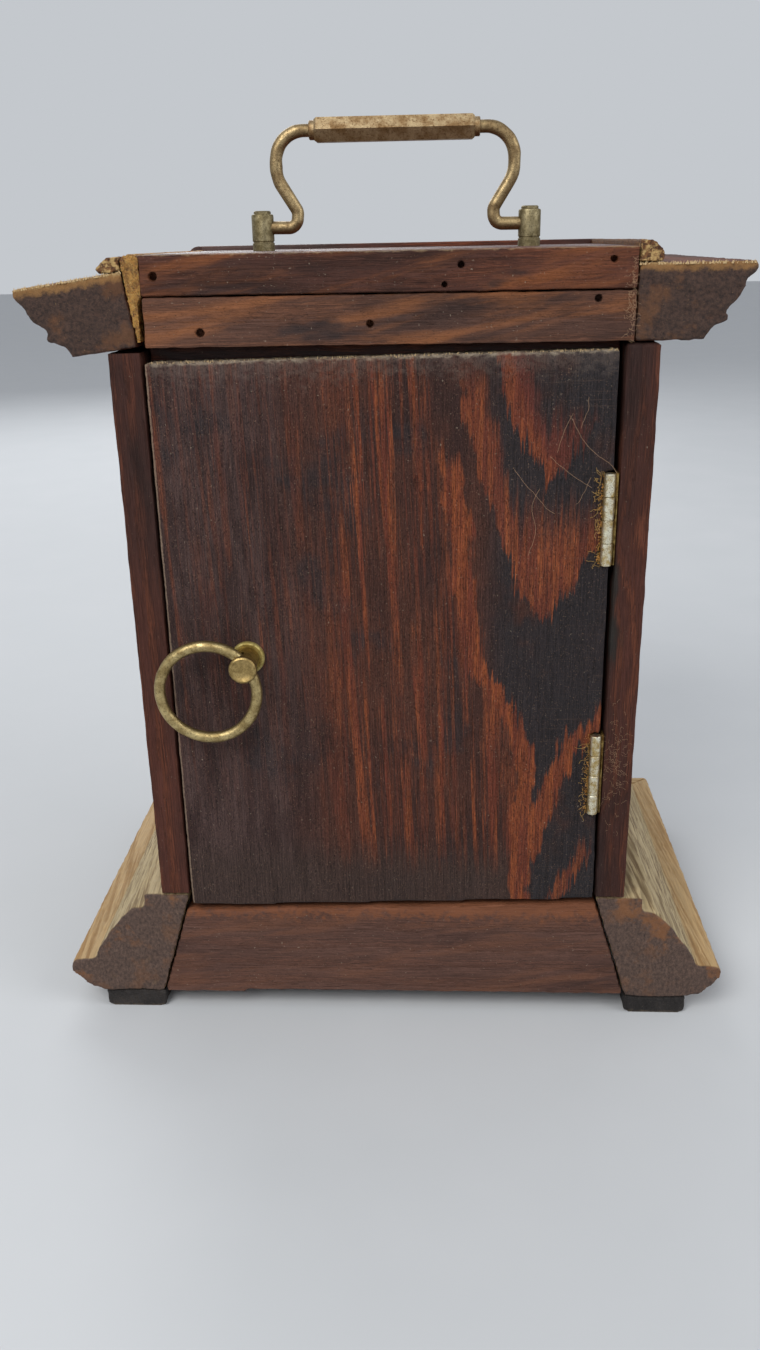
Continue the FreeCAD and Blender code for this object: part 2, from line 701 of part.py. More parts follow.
def handle_post_nuts():
    nuts = []
    for x in post_places():
        start = V(x, HANDLE_Y, FRIEZE_TOP - TOP_PANEL_T - NUT_H)
        nut = polygon_bar(6, NUT_ACROSS / 2 / math.cos(math.pi / 6), start, Z_AXIS, X_AXIS, NUT_H)
        nuts.append(nut.cut(upright_hole(POST_THREAD_R + RUN, x, HANDLE_Y, start.z - 1, NUT_H + 2)))
    return group(nuts)


def bent_path(corners):
    """Points along straight runs joined by tangent arcs: (across, up, radius of the bend)."""
    points = [V(corners[0][0], 0, corners[0][1])]
    for i in range(1, len(corners) - 1):
        here = V(corners[i][0], 0, corners[i][1])
        before = (V(corners[i - 1][0], 0, corners[i - 1][1]) - here).normalize()
        after = (V(corners[i + 1][0], 0, corners[i + 1][1]) - here).normalize()
        half = before.getAngle(after) / 2
        radius = corners[i][2]
        centre = here + (before + after).normalize() * (radius / math.sin(half))
        start = here + before * (radius / math.tan(half)) - centre
        end = here + after * (radius / math.tan(half)) - centre
        turn = math.pi - 2 * half
        steps = max(2, math.ceil(math.degrees(turn) / BAIL_STEP))
        for k in range(steps + 1):
            a = turn * k / steps
            points.append(centre + (start * math.sin(turn - a) + end * math.sin(a)) * (1 / math.sin(turn)))
    return points + [V(corners[-1][0], 0, corners[-1][1])]


def wire_along(points, radius, sides):
    """Wire of flat sides along points in the XZ plane, mitred at each of them."""
    sections = []
    for i, here in enumerate(points):
        before = (here - points[max(i - 1, 0)]) if i else points[1] - here
        after = (points[i + 1] - here) if i + 1 < len(points) else here - points[i - 1]
        before = before.normalize()
        along = (before + after.normalize()).normalize()
        across = Y_AXIS.cross(along)
        sections.append(circle_points(here, across * (1 / along.dot(before)), Y_AXIS, radius, sides))
    return faceted(sections)


def handle_bail():
    """The wire: a bent arm at each end of the straight run through the grip."""
    post = POST_SPACING / 2
    rise = BAIL_RISE
    corners = [(0, rise, 0), (post - 5.0, rise, 8.4), (post - 4.9, rise - 12.8, 10.0),
               (post - 11.0, 4.4, 3.2), (post - 10.6, 0, 2.7), (post - POST_R * 0.4, 0, 0)]
    right = bent_path(corners)
    left = [V(-p.x, 0, p.z) for p in reversed(right[1:])]
    bail = wire_along(left + right[1:], BAIL_R, BAIL_SIDES)
    bail.translate(V(HANDLE_X, HANDLE_Y, FRIEZE_TOP + PIVOT_H))
    return bail


def handle_grip():
    half = GRIP_L / 2
    z = FRIEZE_TOP + PIVOT_H + BAIL_RISE
    hex_half = half - GRIP_COLLAR_L
    start = V(HANDLE_X - hex_half, HANDLE_Y, z)
    corner_r = GRIP_ACROSS / 2 / math.cos(math.pi / 6)
    bar = polygon_bar(6, corner_r, start, X_AXIS, Y_AXIS, 2 * hex_half)
    collars = polygon_bar(BAIL_SIDES, GRIP_COLLAR_R, V(HANDLE_X - half, HANDLE_Y, z), X_AXIS, Y_AXIS, GRIP_L)
    hole_r = (BAIL_R + RUN) / math.cos(math.pi / BAIL_SIDES)
    hole = polygon_bar(BAIL_SIDES, hole_r, V(HANDLE_X - half - 1, HANDLE_Y, z), X_AXIS, Y_AXIS, GRIP_L + 2)
    return bar.fuse(collars).cut(hole)


# ---------------------------------------------------------------- front door
def front_door_span():
    return CASE_BOTTOM + FRONT_DOOR_GAP, CASE_TOP - RIGHT_BOARD_SHORT - FRONT_DOOR_GAP


def front_pivot():
    back = FRONT_Y + FRONT_DOOR_T
    return -HALF_W + FRONT_PIVOT_IN, back - FRONT_PIVOT_IN


def front_pin_spans():
    low, high = front_door_span()
    return [(low - FRONT_PIN_L / 2, low + FRONT_PIN_L / 2), (high - FRONT_PIN_L / 2, high + FRONT_PIN_L / 2)]


def front_pins():
    x, y = front_pivot()
    return [upright_pin(FRONT_PIN_R, x, y, z0, z1 - z0) for z0, z1 in front_pin_spans()]


def front_pin_holes(play):
    x, y = front_pivot()
    return [upright_hole(FRONT_PIN_R + play, x, y, z0, z1 - z0) for z0, z1 in front_pin_spans()]


def glass_rebate():
    low, high = front_door_span()
    x = HALF_W - STILE_W + GLASS_REBATE
    back = FRONT_Y + FRONT_DOOR_T
    low_edge = low + RAIL_W - GLASS_REBATE
    high_edge = high - RAIL_W + GLASS_REBATE
    return box(-x, x, back - GLASS_REBATE_D, back + 1, low_edge, high_edge)


def front_door_stiles():
    low, high = front_door_span()
    px, py = front_pivot()
    back = FRONT_Y + FRONT_DOOR_T
    k = FRONT_PIVOT_IN * math.sqrt(0.5)
    left = slab_xy([(-HALF_W, FRONT_Y), (-HALF_W + STILE_W, FRONT_Y), (-HALF_W + STILE_W, back),
                    (px, back), ((px - k, py + k), (-HALF_W, py))], low, high)
    for hole in front_pin_holes(RUN):
        left = left.cut(hole)
    right = box(HALF_W - STILE_W, HALF_W, FRONT_Y, back, low, high)
    spigot = hole_y(FRONT_KNOB_R / 3, HALF_W - STILE_W / 2, DIAL_Z, FRONT_Y, FRONT_Y)
    right = right.cut(spigot)
    return group([left.cut(glass_rebate()), right.cut(glass_rebate())])


def front_door_rails():
    low, high = front_door_span()
    x = HALF_W - STILE_W
    back = FRONT_Y + FRONT_DOOR_T
    bottom = box(-x, x, FRONT_Y, back, low, low + RAIL_W)
    top = box(-x, x, FRONT_Y, back, high - RAIL_W, high)
    return group([bottom.cut(glass_rebate()), top.cut(glass_rebate())])


def glass_place(margin):
    low, high = front_door_span()
    x = HALF_W - STILE_W + GLASS_REBATE - margin
    return x, low + RAIL_W - GLASS_REBATE + margin, high - RAIL_W + GLASS_REBATE - margin


def front_glass():
    x, low, high = glass_place(FIT)
    y = FRONT_Y + FRONT_DOOR_T - GLASS_REBATE_D
    return box(-x, x, y, y + GLASS_T, low, high)


def glass_beads():
    x, low, high = glass_place(0.1)
    w = GLASS_REBATE - 0.4
    y0 = FRONT_Y + FRONT_DOOR_T - GLASS_REBATE_D + GLASS_T
    y1 = FRONT_Y + FRONT_DOOR_T - 0.4
    return group([box(-x, -x + w, y0, y1, low, high), box(x - w, x, y0, y1, low, high),
                  box(-x + w, x - w, y0, y1, low, low + w), box(-x + w, x - w, y0, y1, high - w, high)])


def front_door_knob():
    r = FRONT_KNOB_R
    foot = V(HALF_W - STILE_W / 2, FRONT_Y, DIAL_Z)
    end = FRONT_KNOB_L
    points = [(0, -4.8), (r / 3, -4.8), (r / 3, 0), (r * 0.9, 0), (r * 0.8, 1.2), (r * 0.42, 1.8),
              (r * 0.42, end - 5.2), (r * 0.85, end - 4.2), (r, end - 2.7), (r * 0.82, end - 1.0),
              (r * 0.4, end - 0.2), (0, end)]
    return turned(points, foot, -Y_AXIS, X_AXIS)


# ---------------------------------------------------------------- train layout
def pitch_radius(teeth, module):
    return teeth * module / 2


def two_circles(x0, z0, r0, x1, z1, r1):
    """Left-hand point at r0 from the first centre and r1 from the second."""
    gap = math.hypot(x1 - x0, z1 - z0)
    along = (r0 * r0 - r1 * r1 + gap * gap) / (2 * gap)
    off = math.sqrt(r0 * r0 - along * along)
    ux = (x1 - x0) / gap
    uz = (z1 - z0) / gap
    return x0 + ux * along - uz * off, z0 + uz * along + ux * off


MESH = [pitch_radius(w + p, m) for w, p, m in zip(TRAIN_WHEELS, TRAIN_PINIONS, TRAIN_MODULE)]
CENTER = (0.0, DIAL_Z)
BARREL = (0.0, DIAL_Z - MESH[0])
FOURTH = (0.0, DIAL_Z + 22.0)
THIRD = two_circles(CENTER[0], CENTER[1], MESH[1], FOURTH[0], FOURTH[1], MESH[2])
ESCAPE = (0.0, FOURTH[1] + MESH[3])
PALLET = (0.0, ESCAPE[1] + 14.0)
MOTION = polar(CENTER[0], CENTER[1], pitch_radius(CANNON_LEAVES + MINUTE_TEETH, MOTION_MODULE), 45.0)

# depth of each wheel between the plates, from the front plate's inner face
GREAT_Y = FRONT_INNER + 2.5
CENTER_Y = FRONT_INNER + 24.2
THIRD_Y = FRONT_INNER + 10.0
FOURTH_Y = FRONT_INNER + 18.0
ESCAPE_Y = FRONT_INNER + 6.0
MINUTE_Y = PLATE_FRONT - 3.6
HOUR_Y = PLATE_FRONT - 7.5
CLICK_PIVOT = (BARREL[0] + 13.0, BARREL[1] + 6.5)


def pinion(teeth, module, place, mate, wheel_y):
    """Pinion that shows a gap to its mate, centred on the mate's thickness."""
    gap_at = bearing(place[0], place[1], mate[0], mate[1])
    y0 = wheel_y + WHEEL_T / 2 - PINION_L / 2
    return toothed(teeth, module, place[0], place[1], y0, y0 + PINION_L, gap_at + 180.0 / teeth)


def wheel(teeth, module, place, mate, y0, spokes=4):
    """Spoked wheel with a tooth towards its mate."""
    tooth_at = bearing(place[0], place[1], mate[0], mate[1])
    disc = toothed(teeth, module, place[0], place[1], y0, y0 + WHEEL_T, tooth_at)
    rim = pitch_radius(teeth, module) - 3.2 * module
    if spokes:
        disc = crossed_out(disc, place[0], place[1], rim, 3.2, y0, y0 + WHEEL_T, spokes)
    return disc


# ---------------------------------------------------------------- movement pieces
def plate(y0, y1, holes):
    w = PLATE_HALF_W
    s = PLATE_SHOULDER
    top = PLATE_TOP
    points = [(-w, SEAT_TOP), (w, SEAT_TOP), (w, top - s), ((w - s * 0.3, top - s * 0.3), (w - s, top)),
              (-w + s, top), ((-w + s * 0.3, top - s * 0.3), (-w, top - s))]
    body = slab_xz(points, y0, y1)
    for place, radius in holes:
        body = body.cut(hole_y(radius + RUN, place[0], place[1], y0, y1))
    return body


def movement_front_plate():
    holes = [(CENTER, CENTER_R), (BARREL, BARREL_PIVOT_R), (THIRD, PIVOT_R), (FOURTH, PIVOT_R),
             (ESCAPE, PIVOT_R), (PALLET, PIVOT_R)]
    body = plate(PLATE_FRONT, FRONT_INNER, holes)
    stud = rod_y(MOTION_STUD_R, MOTION[0], MOTION[1], HOUR_Y - 1.8, PLATE_FRONT)
    click_stud = rod_y(CLICK_STUD_R, CLICK_PIVOT[0], CLICK_PIVOT[1], PLATE_FRONT - 3.0, PLATE_FRONT)
    return fuse([body, stud, click_stud])


def movement_back_plate():
    holes = [(CENTER, CENTER_R), (BARREL, BARREL_PIVOT_R), (THIRD, PIVOT_R), (FOURTH, PIVOT_R),
             (ESCAPE, PIVOT_R), (PALLET, ARBOR_R)]
    return plate(BACK_INNER, PLATE_BACK, holes)


def plate_pillars():
    w = PLATE_HALF_W - 4.5
    places = [(-w, SEAT_TOP + 4.5), (w, SEAT_TOP + 4.5), (-w + 6, PLATE_TOP - PLATE_SHOULDER + 3),
              (w - 6, PLATE_TOP - PLATE_SHOULDER + 3)]
    pillars = []
    for x, z in places:
        h = PLATE_SPACE
        r = PILLAR_R
        points = [(r, 0), (r, 2), (r * 0.6, 3), (r * 0.6, h - 3), (r, h - 2), (r, h)]
        pillars.append(turned(points, V(x, FRONT_INNER, z), Y_AXIS, X_AXIS))
    return group(pillars)


def mainspring_barrel():
    x, z = BARREL
    great = wheel(TRAIN_WHEELS[0], TRAIN_MODULE[0], BARREL, CENTER, GREAT_Y, spokes=0)
    great = great.cut(hole_y(BARREL_ARBOR_R + RUN, x, z, GREAT_Y, GREAT_Y))
    y0 = GREAT_Y + WHEEL_T
    y1 = y0 + BARREL_L
    drum = ring_y(BARREL_R, BARREL_R - BARREL_WALL, x, z, y0, y1, DRUM_SIDES)
    cap = bar_y(BARREL_R, x, z, y1 - BARREL_WALL, y1, DRUM_SIDES)
    cap = cap.cut(hole_y(BARREL_ARBOR_R + RUN, x, z, y0, y1))
    return fuse([great, drum, cap])


def mainspring():
    x, z = BARREL
    y0 = GREAT_Y + WHEEL_T + FIT
    y1 = GREAT_Y + WHEEL_T + BARREL_L - BARREL_WALL - FIT
    return ring_y(BARREL_R - BARREL_WALL - FIT, BARREL_R * 0.5, x, z, y0, y1, DRUM_SIDES)


def winding_arbor():
    """Barrel arbor with its winding square and the ratchet wheel."""
    x, z = BARREL
    y1 = GREAT_Y + WHEEL_T + BARREL_L
    front = PLATE_FRONT - 3.0
    parts = [bar_y(BARREL_PIVOT_R, x, z, front, GREAT_Y - 1.5),
             rod_y(BARREL_PIVOT_R, x, z, y1 + 1.0, PLATE_BACK),
             bar_y(BARREL_ARBOR_R, x, z, GREAT_Y - 1.5, y1 + 1.0)]
    side = 3.4
    tip = DIAL_Y + 1.0
    parts.append(box(x - side / 2, x + side / 2, tip, front, z - side / 2, z + side / 2))
    return fuse(parts + [ratchet_wheel()])


def ratchet_wheel():
    x, z = BARREL
    y0 = PLATE_FRONT - 2.6
    step = 360.0 / RATCHET_TEETH
    corners = []
    for i in range(RATCHET_TEETH):
        for radius, angle in ((RATCHET_R, i * step), (RATCHET_R - RATCHET_DEPTH, i * step + 1.5)):
            px, pz = polar(x, z, radius, angle)
            corners.append(V(px, y0, pz))
    return Part.Face(Part.makePolygon(corners + [corners[0]])).extrude(V(0, 1.8, 0))


def ratchet_click():
    """Click that rests on a ratchet tooth and lifts away from it."""
    x, z = CLICK_PIVOT
    y0 = PLATE_FRONT - 2.6
    behind = 360.0 / RATCHET_TEETH + 8.0
    tip = polar(BARREL[0], BARREL[1], RATCHET_R - RATCHET_DEPTH + 0.5, behind)
    heel = polar(BARREL[0], BARREL[1], RATCHET_R + 1.0, behind)
    arm = slab_xz([(x - 1.2, z - 1.9), tip, heel, (x - 1.0, z + 1.9)], y0, y0 + 1.6)
    eye = bar_y(2.4, x, z, y0, y0 + 1.6)
    return arm.fuse(eye).cut(hole_y(CLICK_STUD_R + RUN, x, z, y0, y0))


def center_arbor():
    x, z = CENTER
    shaft = bar_y(CENTER_R, x, z, DIAL_Y - 7.2, FRONT_INNER + 0.2)
    pivot = rod_y(CENTER_R, x, z, BACK_INNER - 0.2, PLATE_BACK)
    body = bar_y(CENTER_R + 0.6, x, z, FRONT_INNER + 0.2, BACK_INNER - 0.2)
    gear = wheel(TRAIN_WHEELS[1], TRAIN_MODULE[1], CENTER, THIRD, CENTER_Y)
    leaves = pinion(TRAIN_PINIONS[0], TRAIN_MODULE[0], CENTER, BARREL, GREAT_Y)
    return fuse([shaft, pivot, body, gear, leaves])


def train_arbor(place, wheel_teeth, wheel_module, wheel_y, wheel_mate, leaves, leaf_module, leaf_y, leaf_mate):
    gear = wheel(wheel_teeth, wheel_module, place, wheel_mate, wheel_y)
    small = pinion(leaves, leaf_module, place, leaf_mate, leaf_y)
    return fuse(arbor(place[0], place[1], FRONT_INNER, BACK_INNER) + [gear, small])


def third_arbor():
    return train_arbor(THIRD, TRAIN_WHEELS[2], TRAIN_MODULE[2], THIRD_Y, FOURTH,
                       TRAIN_PINIONS[1], TRAIN_MODULE[1], CENTER_Y, CENTER)


def fourth_arbor():
    return train_arbor(FOURTH, TRAIN_WHEELS[3], TRAIN_MODULE[3], FOURTH_Y, ESCAPE,
                       TRAIN_PINIONS[2], TRAIN_MODULE[2], THIRD_Y, THIRD)


def escape_wheel():
    """Thin wheel with raked, pointed teeth."""
    x, z = ESCAPE
    step = 360.0 / ESCAPE_TEETH
    root = ESCAPE_R - 2.0
    corners = []
    for i in range(ESCAPE_TEETH):
        for radius, angle in ((ESCAPE_R, i * step), (root, i * step + step * 0.1),
                              (root, i * step + step * 0.55)):
            px, pz = polar(x, z, radius, angle)
            corners.append(V(px, ESCAPE_Y, pz))
    disc = Part.Face(Part.makePolygon(corners + [corners[0]])).extrude(V(0, WHEEL_T * 0.7, 0))
    return crossed_out(disc, x, z, root - 1.2, 3.0, ESCAPE_Y, ESCAPE_Y + WHEEL_T, 4, 1.8)


def escape_arbor():
    small = pinion(TRAIN_PINIONS[3], TRAIN_MODULE[3], ESCAPE, FOURTH, FOURTH_Y)
    return fuse(arbor(ESCAPE[0], ESCAPE[1], FRONT_INNER, BACK_INNER) + [escape_wheel(), small])


def pallet_arbor():
    """Anchor over the escape wheel and the crutch behind the back plate."""
    x, z = PALLET
    reach = ESCAPE_R + 0.7
    y0 = ESCAPE_Y - 0.6
    y1 = ESCAPE_Y + WHEEL_T * 0.7 + 0.6
    span = 42.0
    ez = ESCAPE[1]
    inner_left = polar(0, ez, reach, -span)
    inner_right = polar(0, ez, reach, span)
    outer_left = polar(0, ez, reach + 2.6, -span - 5)
    outer_right = polar(0, ez, reach + 2.6, span + 5)
    anchor = slab_xz([inner_left, ((0, ez + reach + 1.4), inner_right), outer_right,
                      ((0, z + 2.6), outer_left)], y0, y1)
    shaft = arbor(x, z, FRONT_INNER, BACK_INNER)
    tail = bar_y(ARBOR_R, x, z, BACK_INNER - 1, PLATE_BACK + 3.2)
    c0 = PLATE_BACK + 1.6
    crutch = box(x - 1.1, x + 1.1, c0, c0 + 1.4, z - 28, z)
    cross = box(x - 3.2, x + 3.2, c0, c0 + 1.4, z - 29, z - 26.5)
    prong_gap = ROD_R + 0.25
    prongs = [box(x + prong_gap, x + prong_gap + 1.4, c0, PLATE_BACK + PENDULUM_OFF + 2.0, z - 29, z - 26.5),
              box(x - prong_gap - 1.4, x - prong_gap, c0, PLATE_BACK + PENDULUM_OFF + 2.0, z - 29, z - 26.5)]
    return fuse([anchor, shaft[0], shaft[1], tail, crutch, cross] + prongs)


def pendulum_cock():
    """Bracket on the back plate whose slotted nose holds the suspension spring."""
    x, z = PALLET
    nose_y = PLATE_BACK + PENDULUM_OFF
    foot = box(x - 9, x + 9, PLATE_BACK, PLATE_BACK + 2, z + 3, PLATE_TOP)
    arm = box(x - 4, x + 4, PLATE_BACK, nose_y + 2.5, z + 5, PLATE_TOP - 1)
    nose = box(x - 4, x + 4, nose_y - 2.5, nose_y + 2.5, z - 3, z + 5)
    slot = box(x - 0.4, x + 0.4, nose_y - 4, nose_y + 4, z - 4, z + 4.2)
    pocket = box(x - 2.6, x + 2.6, nose_y - 4, nose_y + 4, z + 2, z + 4.2)
    return fuse([foot, arm, nose]).cut(slot).cut(pocket)


def pendulum():
    x, z = PALLET
    y = PLATE_BACK + PENDULUM_OFF
    bob_z = z - PENDULUM_L
    strip = box(x - 0.15, x + 0.15, y - 1.5, y + 1.5, z - 14, z + 2.8)
    hanger = box(x - 2.0, x + 2.0, y - 0.45, y + 0.45, z + 2.3, z + 3.2)
    block = box(x - 1.6, x + 1.6, y - 2, y + 2, z - 18, z - 13.5)
    stem = polygon_bar(TURNED_SIDES, ROD_R, V(x, y, bob_z - BOB_R - 7), Z_AXIS, X_AXIS,
                       PENDULUM_L - 17 + BOB_R + 7)
    r = BOB_R
    t = BOB_T / 2
    lens = turned([(0, -t), (r * 0.35, -t), (r * 0.8, -t * 0.6), (r, -0.5), (r, 0.5), (r * 0.8, t * 0.6),
                   (r * 0.35, t), (0, t)], V(x, y, bob_z), Y_AXIS, X_AXIS, PULL_SIDES)
    nut = polygon_bar(TURNED_SIDES, 2.6, V(x, y, bob_z - BOB_R - 4.5), Z_AXIS, X_AXIS, 3.0)
    return fuse([strip, hanger, block, stem, lens, nut])


def seat_board():
    x = INNER_X - FIT
    y0 = PLATE_FRONT - 3.0
    y1 = PLATE_BACK + 1.5
    low = SEAT_TOP - SEAT_T
    board = box(-x, x, y0, y1, low, SEAT_TOP)
    cleats = [box(-INNER_X, -INNER_X + CLEAT, y0, y1, low - CLEAT, low),
              box(INNER_X - CLEAT, INNER_X, y0, y1, low - CLEAT, low)]
    return group([board] + cleats)


# ---------------------------------------------------------------- motion work and dial
def cannon_pinion():
    x, z = CENTER
    bore = CENTER_R + RUN
    leaves = toothed(CANNON_LEAVES, MOTION_MODULE, x, z, PLATE_FRONT - 4.6, PLATE_FRONT - 0.6,
                     bearing(x, z, MOTION[0], MOTION[1]) + 180.0 / CANNON_LEAVES, bore)
    pipe = ring_y(CANNON_PIPE_R, bore, x, z, DIAL_Y - 5.2, PLATE_FRONT - 4.6)
    return leaves.fuse(pipe)


def minute_wheel():
    x, z = MOTION
    bore = MOTION_STUD_R + RUN
    disc = toothed(MINUTE_TEETH, MOTION_MODULE, x, z, MINUTE_Y, MINUTE_Y + WHEEL_T,
                   bearing(x, z, CENTER[0], CENTER[1]), bore)
    leaves = toothed(MINUTE_LEAVES, HOUR_MODULE, x, z, HOUR_Y - 1.0, MINUTE_Y,
                     bearing(x, z, CENTER[0], CENTER[1]) + 180.0 / MINUTE_LEAVES, bore)
    return disc.fuse(leaves)


def hour_wheel():
    x, z = CENTER
    bore = CANNON_PIPE_R + 2 * RUN
    disc = toothed(HOUR_TEETH, HOUR_MODULE, x, z, HOUR_Y, HOUR_Y + WHEEL_T,
                   bearing(x, z, MOTION[0], MOTION[1]), bore)
    pipe = ring_y(HOUR_PIPE_R, bore, x, z, DIAL_Y - 2.6, HOUR_Y)
    return disc.fuse(pipe)


def hand(length, hub_r, bore, y0, angle, width):
    """Spade hand: hub, tapering shank, swelling near the tip and a point."""
    w = width
    swell = length * 0.68
    points = [(-w, 0), (-w * 0.55, swell - w * 2.2), ((-w * 2.0, swell), (-w * 0.5, swell + w * 2.0)),
              (0, length), (w * 0.5, swell + w * 2.0), ((w * 2.0, swell), (w * 0.55, swell - w * 2.2)),
              (w, 0)]
    x, z = CENTER
    blade = slab_xz([_shift(p, x, z) for p in points], y0, y0 + HAND_T)
    disc = bar_y(hub_r, x, z, y0, y0 + HAND_T)
    shape = blade.fuse(disc).cut(hole_y(bore, x, z, y0, y0))
    shape.rotate(V(x, 0, z), Y_AXIS, angle)
    return shape


def _shift(step, x, z):
    if isinstance(step[0], tuple):
        return tuple((u + x, v + z) for u, v in step)
    return step[0] + x, step[1] + z


def hand_nut():
    x, z = CENTER
    y0 = DIAL_Y - 5.2
    return ring_y(2.6, CENTER_R + RUN, x, z, y0 - 1.4, y0)


def minute_hand():
    return hand(MINUTE_HAND_L, 3.6, CANNON_PIPE_R + RUN, DIAL_Y - 5.0, MINUTE_ANGLE, 1.5)


def hour_hand():
    return hand(HOUR_HAND_L, 5.0, HOUR_PIPE_R + RUN, DIAL_Y - 2.4, HOUR_ANGLE, 1.9)


def dial_panel():
    x = INNER_X - FIT
    y0 = DIAL_Y + DIAL_T
    panel = box(-x, x, y0, y0 + DIAL_PANEL_T, CASE_BOTTOM + 1.5, CASE_TOP - TOP_BOARD_T - FIT)
    panel = panel.cut(hole_y(DIAL_HOLE_R, CENTER[0], CENTER[1], y0, y0))
    return panel.cut(hole_y(WINDING_HOLE_R, BARREL[0], BARREL[1], y0, y0))


def dial_plate():
    disc = bar_y(DIAL_R, CENTER[0], CENTER[1], DIAL_Y, DIAL_Y + DIAL_T, DIAL_SIDES)
    disc = disc.cut(hole_y(DIAL_HOLE_R, CENTER[0], CENTER[1], DIAL_Y, DIAL_Y))
    return disc.cut(hole_y(WINDING_HOLE_R, BARREL[0], BARREL[1], DIAL_Y, DIAL_Y))


# ---------------------------------------------------------------- write the pieces
def pieces():
    return {
        "side_board_left": side_board(-1),
        "side_board_right": side_board(1),
        "case_top_board": case_top_board(),
        "case_floor_board": case_floor_board(),
        "frieze_boards": frieze_boards(),
        "back_rail_lower": back_rail(RAIL_GAP, RAIL_SEAM),
        "back_rail_upper": back_rail(RAIL_SEAM + RAIL_GAP / 2, FRIEZE_H),
        "top_panel": top_panel(),
        "cornice_left": cornice(-1),
        "cornice_right": cornice(1),
        "cornice_front": cornice_front(),
        "top_bead_left": top_bead(-1),
        "top_bead_right": top_bead(1),
        "top_bead_front": top_bead_front(),
        "glue_wedge": glue_wedge(),
        "base_moulding_left": base_moulding(-1),
        "base_moulding_right": base_moulding(1),
        "base_moulding_front": front_length(base_profile(), -HALF_W, HALF_W, FRONT_Y, 0),
        "base_back_board": base_back_board(),
        "feet": feet(),
        "handle_posts": handle_posts(),
        "handle_post_nuts": handle_post_nuts(),
        "handle_bail": handle_bail(),
        "handle_grip": handle_grip(),
        "back_door_panel": back_door_panel(),
        "back_hinge_door_leaves": hinge_leaves(True),
        "back_hinge_case_leaves": hinge_leaves(False),
        "back_hinge_pins": hinge_pins(),
        "ring_pull_rosette": ring_pull_rosette(),
        "ring_pull_knob": ring_pull_knob(),
        "pull_ring": pull_ring(),
        "front_door_stiles": front_door_stiles(),
        "front_door_rails": front_door_rails(),
        "front_glass": front_glass(),
        "glass_beads": glass_beads(),
        "front_door_pins": group(front_pins()),
        "front_door_knob": front_door_knob(),
        "dial_panel": dial_panel(),
        "dial_plate": dial_plate(),
        "hour_hand": hour_hand(),
        "minute_hand": minute_hand(),
        "hand_nut": hand_nut(),
        "movement_front_plate": movement_front_plate(),
        "movement_back_plate": movement_back_plate(),
        "plate_pillars": plate_pillars(),
        "mainspring_barrel": mainspring_barrel(),
        "mainspring": mainspring(),
        "winding_arbor": winding_arbor(),
        "ratchet_click": ratchet_click(),
        "center_arbor": center_arbor(),
        "cannon_pinion": cannon_pinion(),
        "minute_wheel": minute_wheel(),
        "hour_wheel": hour_wheel(),
        "third_arbor": third_arbor(),
        "fourth_arbor": fourth_arbor(),
        "escape_arbor": escape_arbor(),
        "pallet_arbor": pallet_arbor(),
        "pendulum_cock": pendulum_cock(),
        "pendulum": pendulum(),
        "seat_board": seat_board(),
    }


os.makedirs("parts", exist_ok=True)
for name, shape in pieces().items():
    if shape.isNull() or not shape.isValid():
        print("not valid:", name)
    shape.exportStep("parts/" + name + ".step")
    print(name, len(shape.Solids), "solids", round(shape.Volume, 1), "mm3")
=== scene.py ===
import functools
import random
from math import ceil, cos, degrees, pi, radians, sin, tan

import bmesh
import bpy
from mathutils import Matrix, Vector, noise


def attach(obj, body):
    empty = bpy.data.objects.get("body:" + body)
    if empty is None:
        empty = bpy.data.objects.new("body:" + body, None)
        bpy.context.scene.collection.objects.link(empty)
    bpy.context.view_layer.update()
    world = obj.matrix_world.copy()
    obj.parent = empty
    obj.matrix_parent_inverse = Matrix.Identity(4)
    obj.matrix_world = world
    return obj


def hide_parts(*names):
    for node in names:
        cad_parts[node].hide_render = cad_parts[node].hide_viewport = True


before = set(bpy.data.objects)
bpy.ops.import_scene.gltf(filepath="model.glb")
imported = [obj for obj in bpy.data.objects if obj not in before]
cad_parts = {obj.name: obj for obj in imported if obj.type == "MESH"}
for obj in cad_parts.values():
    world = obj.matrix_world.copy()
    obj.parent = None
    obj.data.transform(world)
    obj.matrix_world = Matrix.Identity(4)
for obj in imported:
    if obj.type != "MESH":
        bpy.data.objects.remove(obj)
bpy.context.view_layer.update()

MM = 0.001
X, Y, Z = Vector((1, 0, 0)), Vector((0, 1, 0)), Vector((0, 0, 1))

# ---- places, in millimetres
CASE_TOP = 216.5
BACK_Y = 65.0
INNER_X = 65.5
KNOB = Vector((41.4, 65.0, 127.4))
RING_HANG = radians(37.4)
RING_R = 14.55
WIRE_R = 1.7
RING_Y = 71.4
FRIEZE_TOP = 240.7
HANDLE = Vector((-2.5, 11.0, FRIEZE_TOP + 6.5))
POST_OFF = 40.5
HANDLE_RISE = 26.7
BAIL_R = 1.9
HINGE_X, HINGE_Y = -63.0, 65.6
HINGE_MIDDLES = (89.0, 168.5)
HINGE_L = 26.4
GRIP_L, GRIP_COLLAR_L, GRIP_ACROSS = 50.6, 1.6, 6.7
KNUCKLE_R = 1.6
DIAL = Vector((0.0, -28.0, 128.0))
DIAL_R = 54.0
NUMERAL_R = 39.5
MINUTES_IN, MINUTES_OUT = 48.3, 51.3
WINDING_DOWN = 28.0
DOOR_EDGE_X, DOOR_TOP, DOOR_TOP_SLOPE = 64.7, 212.9, 0.01538


# ---- colours
def srgb(r, g, b):
    """Linear colour from 0 to 255 parts."""
    def line(c):
        c /= 255.0
        return c / 12.92 if c <= 0.04045 else ((c + 0.055) / 1.055) ** 2.4
    return (line(r), line(g), line(b), 1.0)


